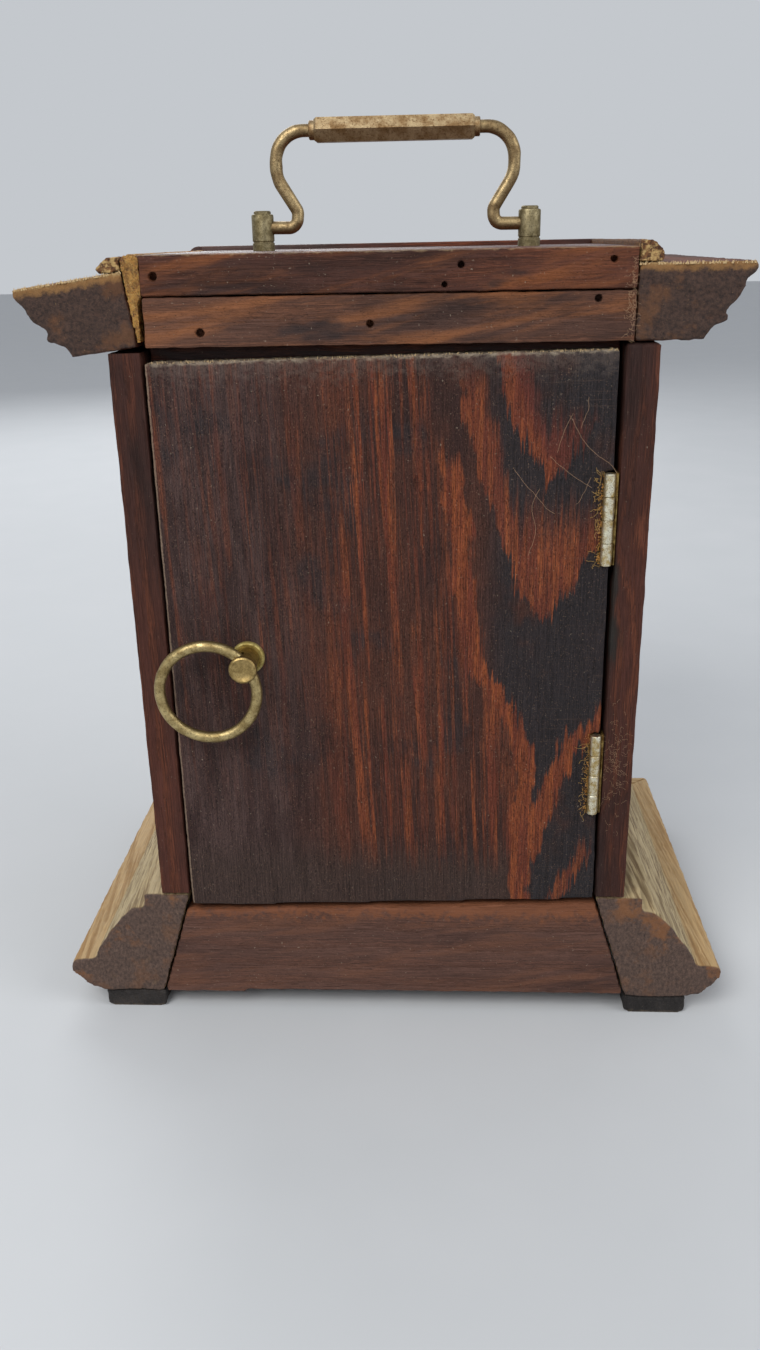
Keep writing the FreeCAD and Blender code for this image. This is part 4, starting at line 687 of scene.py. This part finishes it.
# ---- materials
FRONT_WOOD = {"dark": (58, 30, 24), "middle": (100, 48, 32), "bright": (136, 70, 40), "spacing": 4.5,
    "strength": 0.6, "rough": (0.3, 0.45), "coat": 0.35, "dusty": 0.1}
MAT = {
    "door": door_wood(),
    "rail": stained("rail_wood", "X", (40, 196), 1, (50, 31, 26), (86, 50, 38), (116, 66, 42), 7.5, 0.35,
        worn=[("Z", 240.2, 240.9, (170, 144, 108), 0.55)], patches=((40, 31, 31), 0.6), dusty=0.55,
        glow=(140, 82, 44)),
    "rail_low": stained("lower_rail_wood", "X", (44, 250), 12, (60, 42, 37), (98, 66, 52), (124, 78, 52),
        8.5, 0.35, patches=((44, 35, 35), 0.6), dusty=0.55, glow=(148, 92, 54)),
    "stile": stained("stile_wood", "Z", (40, 90), 3, (44, 26, 22), (78, 42, 32), (110, 60, 38), 4, 0.55,
        patches=((34, 35, 32), 0.58)),
    "frieze": stained("frieze_wood", "X", (20, 200), 5, (52, 29, 24), (90, 46, 32), (128, 68, 40), 4, 0.7,
        rough=(0.34, 0.52), coat=0.25),
    "board": stained("back_board_wood", "X", (26, 70), 8, (70, 48, 42), (94, 66, 56), (104, 66, 50), 6, 0.35,
        worn=[("Z", 35, 39.5, (132, 80, 50), 0.65)], patches=((56, 42, 40), 0.64), dusty=0.55,
        glow=(114, 74, 54)),
    "panel": stained("top_panel_wood", "X", (70, 200), 15, (58, 32, 26), (98, 50, 34), (136, 74, 44), 5, 0.7,
        rough=(0.36, 0.55), coat=0.2),
    "front": stained("front_door_wood", "Z", (-90, 40), 18, **FRONT_WOOD),
    "front_cross": stained("front_rail_wood", "X", (-90, 20), 19, **FRONT_WOOD),
    "inside": stained("inside_wood", "X", (90, 90), 22, (150, 112, 72), (184, 144, 98), (140, 92, 52), 5,
        0.6, rough=(0.6, 0.8), dusty=0.15),
    "inside_up": stained("dial_panel_wood", "Z", (90, 90), 24, (60, 34, 28), (92, 50, 36), (120, 66, 42), 5,
        0.6, rough=(0.55, 0.75), dusty=0.15),
    "foot": stained("foot_wood", "Y", (120, -20), 26, (44, 41, 40), (74, 69, 66), (98, 84, 72), 2.6, 0.4,
        worn=[("Z", 1.4, 0.2, (112, 98, 82), 0.5)]),
    "base": base_wood("base_wood", "Y"),
    "base_front": base_wood("base_front_wood", "X"),
    "bead": bead_wood(),
    "cornice": cornice_wood(),
    "glue": glue_material(),
    "handle": brass("handle_brass", (176, 154, 114), (136, 114, 82), (72, 56, 38), 0.55, (0.36, 0.6), 0.3,
        1),
    "grip": brass("grip_brass", (184, 162, 126), (138, 110, 76), (96, 64, 34), 0.6, (0.4, 0.6), 0.3, 14,
        brushed="X"),
    "post": brass("post_brass", (156, 144, 112), (120, 108, 78), (62, 54, 38), 0.65, (0.42, 0.66), 0.4, 21),
    "ring": brass("ring_brass", (194, 174, 124), (146, 126, 84), (66, 52, 32), 0.6, (0.32, 0.54), 0.35, 31),
    "knob": brass("knob_brass", (186, 160, 106), (142, 120, 76), (84, 64, 36), 0.5, (0.26, 0.46), 0.5, 41),
    "hinge": brass("hinge_metal", (232, 228, 206), (184, 160, 104), (116, 78, 32), 0.9, (0.3, 0.55), 0.5,
        51),
    "leaf": brass("leaf_metal", (150, 128, 78), (104, 78, 40), (58, 36, 18), 0.9, (0.5, 0.75), 0.6, 56),
    "rosette": brass("rosette_brass", (204, 188, 122), (170, 150, 84), (90, 68, 34), 0.5, (0.45, 0.65), 0.5,
        61, metal=0.75),
    "works": brass("movement_metal", (222, 186, 104), (196, 158, 84), (150, 112, 56), 0.2, (0.2, 0.36), 0.12,
        61, brushed="Z", bump=0.03),
    "steel": steel("polished_steel", (196, 198, 204), (160, 162, 168)),
    "spring": steel("spring_steel", (96, 100, 112), (64, 66, 76), (0.3, 0.5), 7),
    "blued": steel("blued_metal", (44, 58, 120), (24, 30, 66), (0.18, 0.32), 9, "Z"),
    "pin": steel("pin_metal", (190, 190, 186), (150, 148, 140), (0.3, 0.5), 11, "Z"),
    "dial": silvered(),
    "glass": clear_glass(),
    "ink": enamel("black_ink", (22, 20, 22), 4),
    "fuzz": enamel("pale_fibre", (176, 152, 112), 6),
    "hair": enamel("pale_hair", (150, 120, 92), 8),
    "gold_hair": enamel("golden_hair", (176, 140, 74), 12),
    "gunk": enamel("hinge_gunk", (140, 98, 42), 10),
}

# ---- wooden case
def nail_holes(*spots):
    """Cutters for nail holes in the back, 3 mm deep, each at x and z with a radius."""
    return [bar(Vector((x, BACK_Y - 3, z)), Vector((x, BACK_Y + 1, z)), radius, 10) for x, z, radius in spots]


def end_keep(amount):
    """Wear that is strongest on the sawn ends at the back."""
    return lambda p: 1 + amount * max(0, min(1, (p.y - BACK_Y + 3) / 3))


for node in ("side_board_left", "side_board_right"):
    roughen(node, 1.1, 0.25, 0.12, 3 + len(node), "stile")
roughen("back_rail_upper", 0.5, 0.22, 0.2, 7, "rail", holes=nail_holes(
    (60.6, 235.2, 1.15), (-21.3, 236.8, 0.85), (-61.2, 237.6, 0.95), (-17.1, 231.9, 0.8)))
roughen("back_rail_lower", 0.5, 0.22, 0.2, 9, "rail_low", holes=nail_holes(
    (49, 220.6, 1.1), (2.9, 222.3, 1), (-57.6, 227.9, 0.9)))
soften("frieze_boards", 0.5, "frieze")
soften("top_panel", 0.6, "panel")
# The case top board carries the dark frieze stain, partly as painted shade: its back edge shows in the gap
# above the back door, where the inside of the case lies in shadow.
for node, width, look in (("case_top_board", 0.4, "frieze"), ("case_floor_board", 0.4, "inside"),
        ("seat_board", 0.4, "inside"), ("dial_panel", 0.3, "inside_up")):
    soften(node, width, look, slot="plain_wood")
roughen("base_back_board", 1, 0.3, 0.2, 13, "board", holes=nail_holes((58.3, 36.4, 1), (-16, 36.6, 0.9)))
roughen("feet", 0.9, 0.3, 0.25, 17, "foot", slot="foot_wood",
    keep=lambda p: 0 if p.z > 5.6 or p.z < 0.3 else 1)
for node, seed in (("cornice_left", 23), ("cornice_right", 27)):
    roughen(node, 0.7, 0.22, 0.3, seed, "cornice", keep=end_keep(1.6))
for node, seed in (("top_bead_left", 31), ("top_bead_right", 33)):
    roughen(node, 0.5, 0.2, 0.5, seed, "bead", keep=end_keep(1.2))
soften("cornice_front", 0.35, "cornice")
soften("top_bead_front", 0.3, "frieze")
for node, seed in (("base_moulding_left", 41), ("base_moulding_right", 43)):
    roughen(node, 0.9, 0.25, 0.25, seed, "base", slot="base_wood", keep=end_keep(0.8))
soften("base_moulding_front", 0.4, "base_front", slot="base_wood")


def glue_bulge(p):
    return -0.55 * abs(noise.noise(p * 0.9)) - 0.35 * abs(noise.noise(p * 2.1)) + 0.25


roughen("glue_wedge", 0.4, 0.3, 0.7, 51, "glue", slot="old_glue", extra=glue_bulge)

# ---- back door
def dent(x, z, wide, high, depth):
    """Cutter for a shallow oval dent in the back door."""
    centre = Vector((x, BACK_Y + 0.1, z))
    rings = []
    for k in range(5):
        share = sin(pi * (k + 0.5) / 5)
        level = centre + Z * (high * (k - 2) / 2.2)
        rings.append(ring_of(level, X, Y, max(wide * share, 0.15), 10))
    obj = skin("dent", rings)
    for v in obj.data.vertices:
        v.co.y = centre.y * MM + (v.co.y - centre.y * MM) * depth / wide
    return obj


def door_top(x):
    return DOOR_TOP + (DOOR_EDGE_X - x) * DOOR_TOP_SLOPE


def door_wear(p):
    """Splintered top edge and a soft left arris."""
    near_top = max(0, 1 - abs(door_top(p.x) - p.z) / 1.6)
    side = max(0, 1 - abs(p.x - DOOR_EDGE_X) / 1.2)
    splintered = near_top * noise.noise(p * Vector((1.1, 1, 0.6)).length)
    return 0.35 * splintered - 0.35 * side * abs(noise.noise(p * 0.4))


roughen("back_door_panel", 0.9, 0.16, 0.16, 61, "door", "back_door", extra=door_wear,
    holes=nail_holes((-10.4, 147.5, 0.9)) + [dent(29, 178.3, 0.8, 3.4, 1.4), dent(-8.9, 178.8, 1.1, 3.6, 1.6),
    dent(-51.5, 166.5, 0.7, 1.6, 1)])

# ---- hinges of the back door
def knuckle(low, size):
    r = KNUCKLE_R
    profile = [(0.72, 0), (r - 0.18, 0), (r, 0.18), (r, size - 0.18), (r - 0.18, size), (0.72, size)]
    return turned("knuckle", profile, Vector((HINGE_X, HINGE_Y, low)), Z, X, 32)


HINGE_GAP = 0.12
knuckle_l = (HINGE_L - HINGE_GAP * 3) / 4
hinge = {(side, part): [] for side in ("case", "door") for part in ("leaves", "knuckles")}
pins = []
for middle in HINGE_MIDDLES:
    foot = middle - HINGE_L / 2
    for k in range(4):
        low = foot + k * (knuckle_l + HINGE_GAP)
        side = ("case", "door")[k % 2]
        start, end = ((-INNER_X + 0.3, HINGE_X), (HINGE_X, HINGE_X + KNUCKLE_R - 0.3))[k % 2]
        hinge[side, "knuckles"].append(knuckle(low, knuckle_l))
        hinge[side, "leaves"].append(block("web", (start, HINGE_Y - 1, low + 0.02),
            (end, HINGE_Y - 0.2, low + knuckle_l - 0.02), 0.1))
    for side, x in (("case", -INNER_X), ("door", HINGE_X + KNUCKLE_R - 0.8)):
        hinge[side, "leaves"].append(block("leaf", (x, HINGE_Y - 7.6, foot),
            (x + 0.8, HINGE_Y - 0.2, foot + HINGE_L), 0.15))
    profile = [(0.3, -0.1), (0.7, 0.15), (0.7, HINGE_L - 0.15), (0.3, HINGE_L + 0.1)]
    pins.append(turned("pin", profile, Vector((HINGE_X, HINGE_Y, foot)), Z, X, 20))
for part, look in (("leaves", "leaf"), ("knuckles", "hinge")):
    for side, body in (("case", "clock_case"), ("door", "back_door")):
        replaced = (f"back_hinge_{side}_leaves",) if part == "leaves" else ()
        dress(join(f"{side}_hinge_{part}", hinge[side, part]), look, body, "hinge_brass", replaced)
dress(join("hinge_pins", pins), "pin", slot="hinge_steel", replaced=("back_hinge_pins",))

# ---- ring pull
ring_out = Vector((cos(RING_HANG), 0, -sin(RING_HANG)))
ring_along = Vector((sin(RING_HANG), 0, cos(RING_HANG)))
eye = Vector((KNOB.x, RING_Y, KNOB.z))

rosette = turned("rosette", [(1.75, 0), (5, 0), (5, 0.75), (4.85, 1.15), (4.5, 1.48), (4.1, 1.42), (3.75, 1),
    (1.75, 0.95)], KNOB, Y, X, 64)
dress(rosette, "rosette", "back_door", "aged_brass", ("ring_pull_rosette",), angle=50)

knob = turned("ring_knob", [(0, -8), (1.7, -8), (1.7, 0.9), (3.4, 0.9), (3.4, 9.5), (3.55, 9.85), (4, 10.1),
    (4.15, 10.5), (4.15, 11.2), (3.95, 11.6), (3.5, 11.8), (3.1, 11.65), (2.6, 11.35), (1.6, 11.15),
    (0, 11.1)], KNOB, Y, X, 64)
cut(knob, [bar(eye - ring_along * 9, eye + ring_along * 9, WIRE_R + 0.3, 32)])
dress(knob, "knob", "back_door", "aged_brass", ("ring_pull_knob",), angle=40)

loop = ring_of(eye + ring_out * RING_R, ring_out, ring_along, RING_R, 96)
dress(skin("ring", swept(loop, WIRE_R - 0.03, 20, True, 0.1, 4), True), "ring", "ring_pull", "aged_brass",
    ("pull_ring",), angle=80)


# ---- carrying handle
def bent(corners):
    """Points on straight runs joined by round bends, one about every 6 degrees: corners are
    (across, up, radius)."""
    places = [Vector((across, 0, up)) for across, up, _ in corners]
    points = places[:1]
    for i in range(1, len(corners) - 1):
        here = places[i]
        before, after = ((place - here).normalized() for place in (places[i - 1], places[i + 1]))
        half = before.angle(after) / 2
        radius = corners[i][2]
        centre = here + (before + after).normalized() * (radius / sin(half))
        start = here + before * (radius / tan(half)) - centre
        end = here + after * (radius / tan(half)) - centre
        turn = pi - 2 * half
        steps = max(2, ceil(degrees(turn) / 6))
        for k in range(steps + 1):
            a = turn * k / steps
            points.append(centre + (start * sin(turn - a) + end * sin(a)) / sin(turn))
    return points + places[-1:]


rise = HANDLE_RISE
half_path = bent([(0, rise, 0), (POST_OFF - 5, rise, 8.4), (POST_OFF - 4.9, rise - 12.8, 10),
    (POST_OFF - 11, 4.4, 3.2), (POST_OFF - 10.6, 0, 2.7), (POST_OFF - 1.34, 0, 0)])
path = [Vector((-p.x, 0, p.z)) for p in reversed(half_path[1:])] + half_path
path = [p + HANDLE for p in path]
dress(skin("handle_wire", swept(path, BAIL_R - 0.02, 24, False, 0.16, 9)), "handle", "carrying_handle",
    "aged_brass", ("handle_bail",), angle=70)
half_grip = GRIP_L / 2
half_bar = half_grip - GRIP_COLLAR_L
bar_r = GRIP_ACROSS / 2 / cos(pi / 6)
grip_profile = both_ends([(0, half_bar), (bar_r - 0.6, half_bar), (bar_r, half_bar - 0.7)])
collar_profile = both_ends([(0, half_grip), (2.45, half_grip), (2.7, half_grip - 0.25)])
grip_centre = HANDLE + Z * rise
dress(join("grip", [turned("grip_bar", grip_profile, grip_centre, X, Y, 6),
    turned("grip_collars", collar_profile, grip_centre, X, Y, 40)]), "grip", "carrying_handle", "aged_brass",
    ("handle_grip",), angle=25)

posts = []
for side in (-1, 1):
    foot = Vector((HANDLE.x + side * POST_OFF, HANDLE.y, FRIEZE_TOP))
    post = turned("post", [(0, -9.5), (2, -9.5), (2, 0), (3.35, 0), (3.35, 2.15), (3.1, 2.35), (3.1, 2.6),
        (3.35, 2.8), (3.35, 9.9), (3.2, 10.3), (2.75, 10.4), (2.6, 10.5), (2.6, 11.05), (2.3, 11.35),
        (0, 11.4)], foot, Z, X, 48)
    inner = foot + Z * 6.5 + X * (side * 1.5)
    cut(post, [bar(inner, inner - X * (side * 8), BAIL_R + 0.05, 28)])
    posts.append(post)
dress(join("posts", posts), "post", slot="aged_brass", replaced=("handle_posts",), angle=40)
soften("handle_post_nuts", 0.2, "pin", slot="hinge_steel")

# ---- front door
soften("front_door_stiles", 0.7, "front", "front_door", segments=3)
soften("front_door_rails", 0.7, "front_cross", "front_door", segments=3)
soften("glass_beads", 0.35, "front", "front_door")
paint(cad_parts["front_glass"], "glass")
knob_foot = Vector((67, -43, 128))
knob_profile = [(0, -4.8), (1.5, -4.8), (1.5, 0), (4.05, 0), (4, 0.6), (3.6, 1.2), (2.3, 1.7), (1.89, 2.2),
    (1.89, 4.8), (2.6, 5.3), (3.8, 5.8), (4.4, 6.6), (4.5, 7.3), (4.3, 8.3), (3.7, 9), (2.6, 9.6),
    (1.3, 9.92), (0, 10)]
dress(turned("door_knob", knob_profile, knob_foot, -Y, X, 48), "knob", "front_door", "aged_brass",
    ("front_door_knob",), angle=50)

# ---- dial
dial_profile = [(0, 0), (DIAL_R - 0.02, 0), (DIAL_R - 0.02, 1), (0, 1)]
plate = turned("dial_disc", dial_profile, DIAL, Y, Z, 160)
winding = DIAL - Z * WINDING_DOWN
cut(plate, [bar(DIAL - Y * 2, DIAL + Y * 8, 6, 48), bar(winding - Y * 2, winding + Y * 8, 4.5, 40)])
dress(plate, "dial", slot="dial_silver", replaced=("dial_plate",), angle=30)

ROMAN = ("XII", "I", "II", "III", "IV", "V", "VI", "VII", "VIII", "IX", "X", "XI")
marks = []
for hour, text in enumerate(ROMAN):
    curve = bpy.data.curves.new("numeral", "FONT")
    curve.body = text
    curve.align_x = curve.align_y = "CENTER"
    curve.size = 11.5 * MM
    curve.offset, curve.extrude = 0.12 * MM, 0.04 * MM
    obj = linked("numeral", curve)
    a = radians(hour * 30)
    spot = Vector((sin(a) * NUMERAL_R, DIAL.y - 0.05, DIAL.z + cos(a) * NUMERAL_R)) * MM
    upright = Matrix.Rotation(radians(90), 4, "X") @ Matrix.Diagonal((0.72, 1, 1, 1))
    obj.matrix_world = Matrix.Translation(spot) @ Matrix.Rotation(a, 4, "Y") @ upright
    mesh = evaluated(obj)
    mesh.transform(obj.matrix_world)
    bpy.data.objects.remove(obj, do_unlink=True)
    marks.append(linked("numeral", mesh))


def dial_bar(angle, half):
    """Minute mark standing 0.08 mm off the dial along a radius; half is half its width."""
    a = radians(angle)
    out = Vector((sin(a), 0, cos(a)))
    across = Vector((cos(a), 0, -sin(a))) * half
    near, far = DIAL + out * MINUTES_IN, DIAL + out * MINUTES_OUT
    front = [near - across, far - across, far + across, near + across]
    verts = [p + Y * 0.02 for p in front] + [p - Y * 0.08 for p in front]
    faces = [(0, 1, 2, 3), (7, 6, 5, 4), (0, 4, 5, 1), (1, 5, 6, 2), (2, 6, 7, 3), (3, 7, 4, 0)]
    return new_object("mark", verts, faces)


def dial_circle(r0, r1):
    return skin("mark", [ring_of(DIAL + Y * y, X, Z, r, 180) for r, y in ((r0, 0.02), (r0, -0.08),
        (r1, -0.08), (r1, 0.02))], True)


marks += [dial_bar(minute * 6, 0.16 if minute % 5 else 0.45) for minute in range(60)]
marks += [dial_circle(48.1, 48.35), dial_circle(51.25, 51.5), dial_circle(31, 31.2)]
dress(join("dial_marks", marks), "ink", slot="blued_steel", smooth=False)
for node, body in (("hour_hand", "hour_train"), ("minute_hand", "center_train")):
    soften(node, 0.12, "blued", body, "blued_steel")

# ---- movement
for node, body, look in (
        ("movement_front_plate", "clock_case", "works"), ("movement_back_plate", "clock_case", "works"),
        ("pendulum_cock", "clock_case", "works"), ("pallet_arbor", "pallets", "steel"),
        ("winding_arbor", "winding", "steel"), ("ratchet_click", "click", "steel"),
        ("hand_nut", "center_train", "works")):
    soften(node, 0.15, look, body, "movement_steel" if look == "steel" else "movement_brass", angle=32)
for look, nodes in (("works", ("mainspring_barrel", "center_arbor", "third_arbor", "fourth_arbor",
        "escape_arbor", "minute_wheel", "hour_wheel", "plate_pillars")), ("spring", ("mainspring",)),
        ("steel", ("cannon_pinion",)), ("pin", ("front_door_pins",))):
    for node in nodes:
        paint(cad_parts[node], look)

bob = Vector((0, 25, 79))
bob_profile = both_ends([(0, 3.5), (4.5, 3.5), (8, 3), (10.6, 2.1), (12.4, 0.9), (13, 0.3)])
nut_profile = [(0, -17.5), (2.2, -17.5), (2.6, -17.1), (2.6, -14.9), (2.2, -14.5), (0, -14.5)]
pendulum_parts = [
    turned("bob", bob_profile, bob, Y, X, 64),
    turned("rod", [(0, -20), (1, -20), (1, 80), (0, 80)], bob, Z, X, 24),
    turned("nut", nut_profile, bob, Z, X, 24), block("block", (-1.6, 23, 158), (1.6, 27, 162.5), 0.2),
    block("strip", (-0.15, 23.5, 162), (0.15, 26.5, 178.8), 0.04),
    block("hanger", (-2, 24.55, 178.3), (2, 25.45, 179.2), 0.15)]
dress(join("pendulum_bob_and_rod", pendulum_parts), "works", "pendulum_body", "movement_brass", ("pendulum",),
    angle=40)

# ---- loose fibres, splinters and crumbs
dice = random.Random(20)


def fibre(start, lift, shortest, longest, radius, curl, lean=1):
    """One thin hair that wanders from its start."""
    here = start.copy()
    heading = Vector((dice.gauss(0, lean), lift, dice.gauss(0, 1)))
    length = dice.uniform(shortest, longest)
    heading.normalize()
    points = [here]
    for _ in range(12):
        bend = Vector((dice.gauss(0, curl), dice.gauss(0, curl * 0.25), dice.gauss(0, curl)))
        heading = (heading + bend).normalized()
        here = here + heading * (length / 12)
        points.append(here)
    return skin("fibre", swept(points, radius, 4))


def splinter(foot, spread, back, front, shortest, longest, thin, thick):
    way = Vector((dice.gauss(0, spread), dice.uniform(back, front), 1)).normalized()
    length, radius = dice.uniform(shortest, longest), dice.uniform(thin, thick)
    return skin("splinter", swept([foot - way * 0.4, foot + way * length], [radius, radius * 0.25], 4))


def crumb(centre, size):
    """A small uneven lump with eight faces."""
    ends = []
    for way in (X, -X, Y, -Y, Z, -Z):
        jog = Vector([dice.uniform(-0.3, 0.3) for _ in range(3)])
        ends.append(centre + (way * dice.uniform(0.5, 1.1) + jog) * size)
    faces = [(0, 2, 4), (2, 1, 4), (1, 3, 4), (3, 0, 4), (2, 0, 5), (1, 2, 5), (3, 1, 5), (0, 3, 5)]
    return new_object("crumb", ends, faces)


def door_splinter(_):
    x = dice.uniform(-63.5, 64.3)
    foot = Vector((x, dice.uniform(63.6, 64.7), door_top(x) - 0.35))
    return splinter(foot, 0.6, -0.1, 0.35, 0.25, 0.9, 0.06, 0.16)


def cornice_splinter(side):
    """Splinters on the upper edge of a cornice's sawn end; the right one droops."""
    def make(_):
        t = dice.random()
        if side < 0:
            foot = Vector((-67.7 - 30 * t, dice.uniform(64.2, 64.9), CASE_TOP + 19.8))
        else:
            foot = Vector((66.5 + 2.8 + 29.6 * t, dice.uniform(64.2, 64.9), CASE_TOP + 19.95 - 4.15 * t))
        return splinter(foot, 0.7, -0.2, 0, 0.2, 0.7, 0.08, 0.2)
    return make


def door_hair(_):
    start = Vector((dice.uniform(-60, -40), BACK_Y + 0.25, dice.uniform(170, 210)))
    return fibre(start, 0.05, 8, 22, 0.035, 0.16)


def hinge_fluff(i):
    z = HINGE_MIDDLES[i % 2]
    start = Vector((HINGE_X + dice.uniform(1.2, 3.6), BACK_Y + 0.15, z + dice.uniform(-14, 13)))
    return fibre(start, 0.05, 1.2, 3.4, 0.035, 0.35)


def hinge_crumb(i):
    near = abs(dice.gauss(0, 0.9))
    centre = Vector((HINGE_X + 1.5 + near, BACK_Y + dice.uniform(0, 0.5) / (1 + near),
        HINGE_MIDDLES[i % 2] + dice.uniform(-13.5, 13.2)))
    return crumb(centre, dice.uniform(0.14, 0.5) / (1 + 0.5 * near))


def knuckle_gunk(first):
    """Dried dirt on every second knuckle, on the body that carries those knuckles."""
    def make(i):
        pitch = HINGE_L / 4
        low = HINGE_MIDDLES[i % 2] - HINGE_L / 2 + pitch * dice.choice((first, first + 2))
        angle = dice.uniform(-0.2, 2.6)
        out = Vector((cos(angle), sin(angle), 0)) * (KNUCKLE_R - 0.06)
        centre = Vector((HINGE_X, HINGE_Y, low + dice.uniform(0.2, pitch - 0.3))) + out
        return crumb(centre, dice.uniform(0.05, 0.1))
    return make


def case_fuzz(_):
    """Fine hairs caught on the side board beside the lower hinge."""
    start = Vector((-INNER_X - dice.uniform(0.3, 6.5), BACK_Y + 0.05, HINGE_MIDDLES[0] + dice.gauss(2, 10)))
    return fibre(start, 0.04, 1, 3.5, 0.022, 0.45)


def seam_fibre(_):
    """Frayed fibres along the joint at the rails' end."""
    start = Vector((-66.4 + dice.gauss(0, 0.35), BACK_Y + 0.02, dice.uniform(216.8, 238.5)))
    return fibre(start, 0.15, 0.8, 3, 0.03, 0.4, 0.6)


for count, maker, name, look, *place in (
        (420, door_splinter, "door_top_splinters", "fuzz", "back_door"),
        (120, cornice_splinter(-1), "left_cornice_fuzz", "fuzz"),
        (120, cornice_splinter(1), "right_cornice_fuzz", "fuzz"),
        (7, door_hair, "door_hairs", "hair", "back_door"),
        (120, hinge_fluff, "hinge_fluff", "gold_hair", "back_door", "hinge_brass"),
        (240, hinge_crumb, "hinge_crumbs", "gunk", "back_door", "hinge_brass"),
        (160, knuckle_gunk(0), "case_knuckle_gunk", "gunk", "clock_case", "hinge_brass"),
        (160, knuckle_gunk(1), "door_knuckle_gunk", "gunk", "back_door", "hinge_brass"),
        (110, case_fuzz, "side_board_fuzz", "hair"),
        (90, seam_fibre, "rail_seam_fibres", "hair")):
    dress(join(name, [maker(i) for i in range(count)]), look, *place, smooth=False)

# ---- floor, light and camera
def stage_material():
    g = Graph("pale_floor")
    grain = g.noise(0.02, 3, 3, 0.5)
    colour = g.mix(grain, (198, 202, 205), (206, 209, 212))
    return g.finish(colour, g.spread(grain, 0.75, 0.85), grain, 0.02)


FLOOR = 6000
corners = [(x * FLOOR, y * FLOOR, 0) for x, y in ((-1, -1), (1, -1), (1, 1), (-1, 1))]
floor = new_object("floor", corners, [(0, 1, 2, 3)])
floor.data.materials.append(stage_material())

world = bpy.data.worlds.new("studio")
bpy.context.scene.world = world
world.use_nodes = True
studio = Nodes(world.node_tree)
plain = studio.node("Background", Color=(0.93, 0.95, 1, 1), Strength=0.5)
shown = studio.node("Background", Color=srgb(196, 200, 205), Strength=1)
rays = studio.node("LightPath").outputs
seen = studio.most(*(rays[f"Is {kind} Ray"] for kind in ("Camera", "Glossy", "Transmission")))
pick = studio.node("MixShader", seen, plain.outputs[0], shown.outputs[0])
studio.node("OutputWorld", pick.outputs[0])


def lamp(name, place, aim, size, power, tint=(1, 1, 1)):
    light = bpy.data.lights.new(name, "AREA")
    light.shape = "DISK"
    light.size = size
    light.energy = power
    light.color = tint
    obj = linked(name, light)
    obj.location = place
    obj.rotation_euler = (Vector(aim) - Vector(place)).to_track_quat("-Z", "Y").to_euler()


lamp("key", (0.55, 1.05, 1.15), (0, 0.05, 0.12), 0.9, 14, (1, 0.985, 0.96))
lamp("side", (-1.1, 0.5, 0.8), (0, 0, 0.12), 0.9, 5)
lamp("front", (0.4, -1.2, 0.9), (0, 0, 0.12), 1, 7)

# Camera fitted to the photograph: angles in radians, place in metres, focal length in pixels.
YAW, PITCH, ROLL = -0.0525, 0.368, -0.0196
CAMERA_PLACE = (-0.0145482, 0.3807028, 0.2434932)
FOCAL, PHOTO_H, SENSOR = 1130.86, 1350.0, 36.0
forward = Vector((-sin(YAW) * cos(PITCH), -cos(YAW) * cos(PITCH), -sin(PITCH)))
level = Vector((-cos(YAW), sin(YAW), 0.0))
above = level.cross(forward)
right = level * cos(ROLL) + above * sin(ROLL)
up = above * cos(ROLL) - level * sin(ROLL)
camera_data = bpy.data.cameras.new("camera")
camera_data.lens = FOCAL / PHOTO_H * SENSOR
camera_data.sensor_width = SENSOR
camera_data.clip_start = 0.01
camera = linked("camera", camera_data)
camera.matrix_world = Matrix.Translation(CAMERA_PLACE) @ Matrix((right, up, -forward)).transposed().to_4x4()
bpy.context.scene.camera = camera
bpy.context.scene.view_settings.view_transform = "Standard"
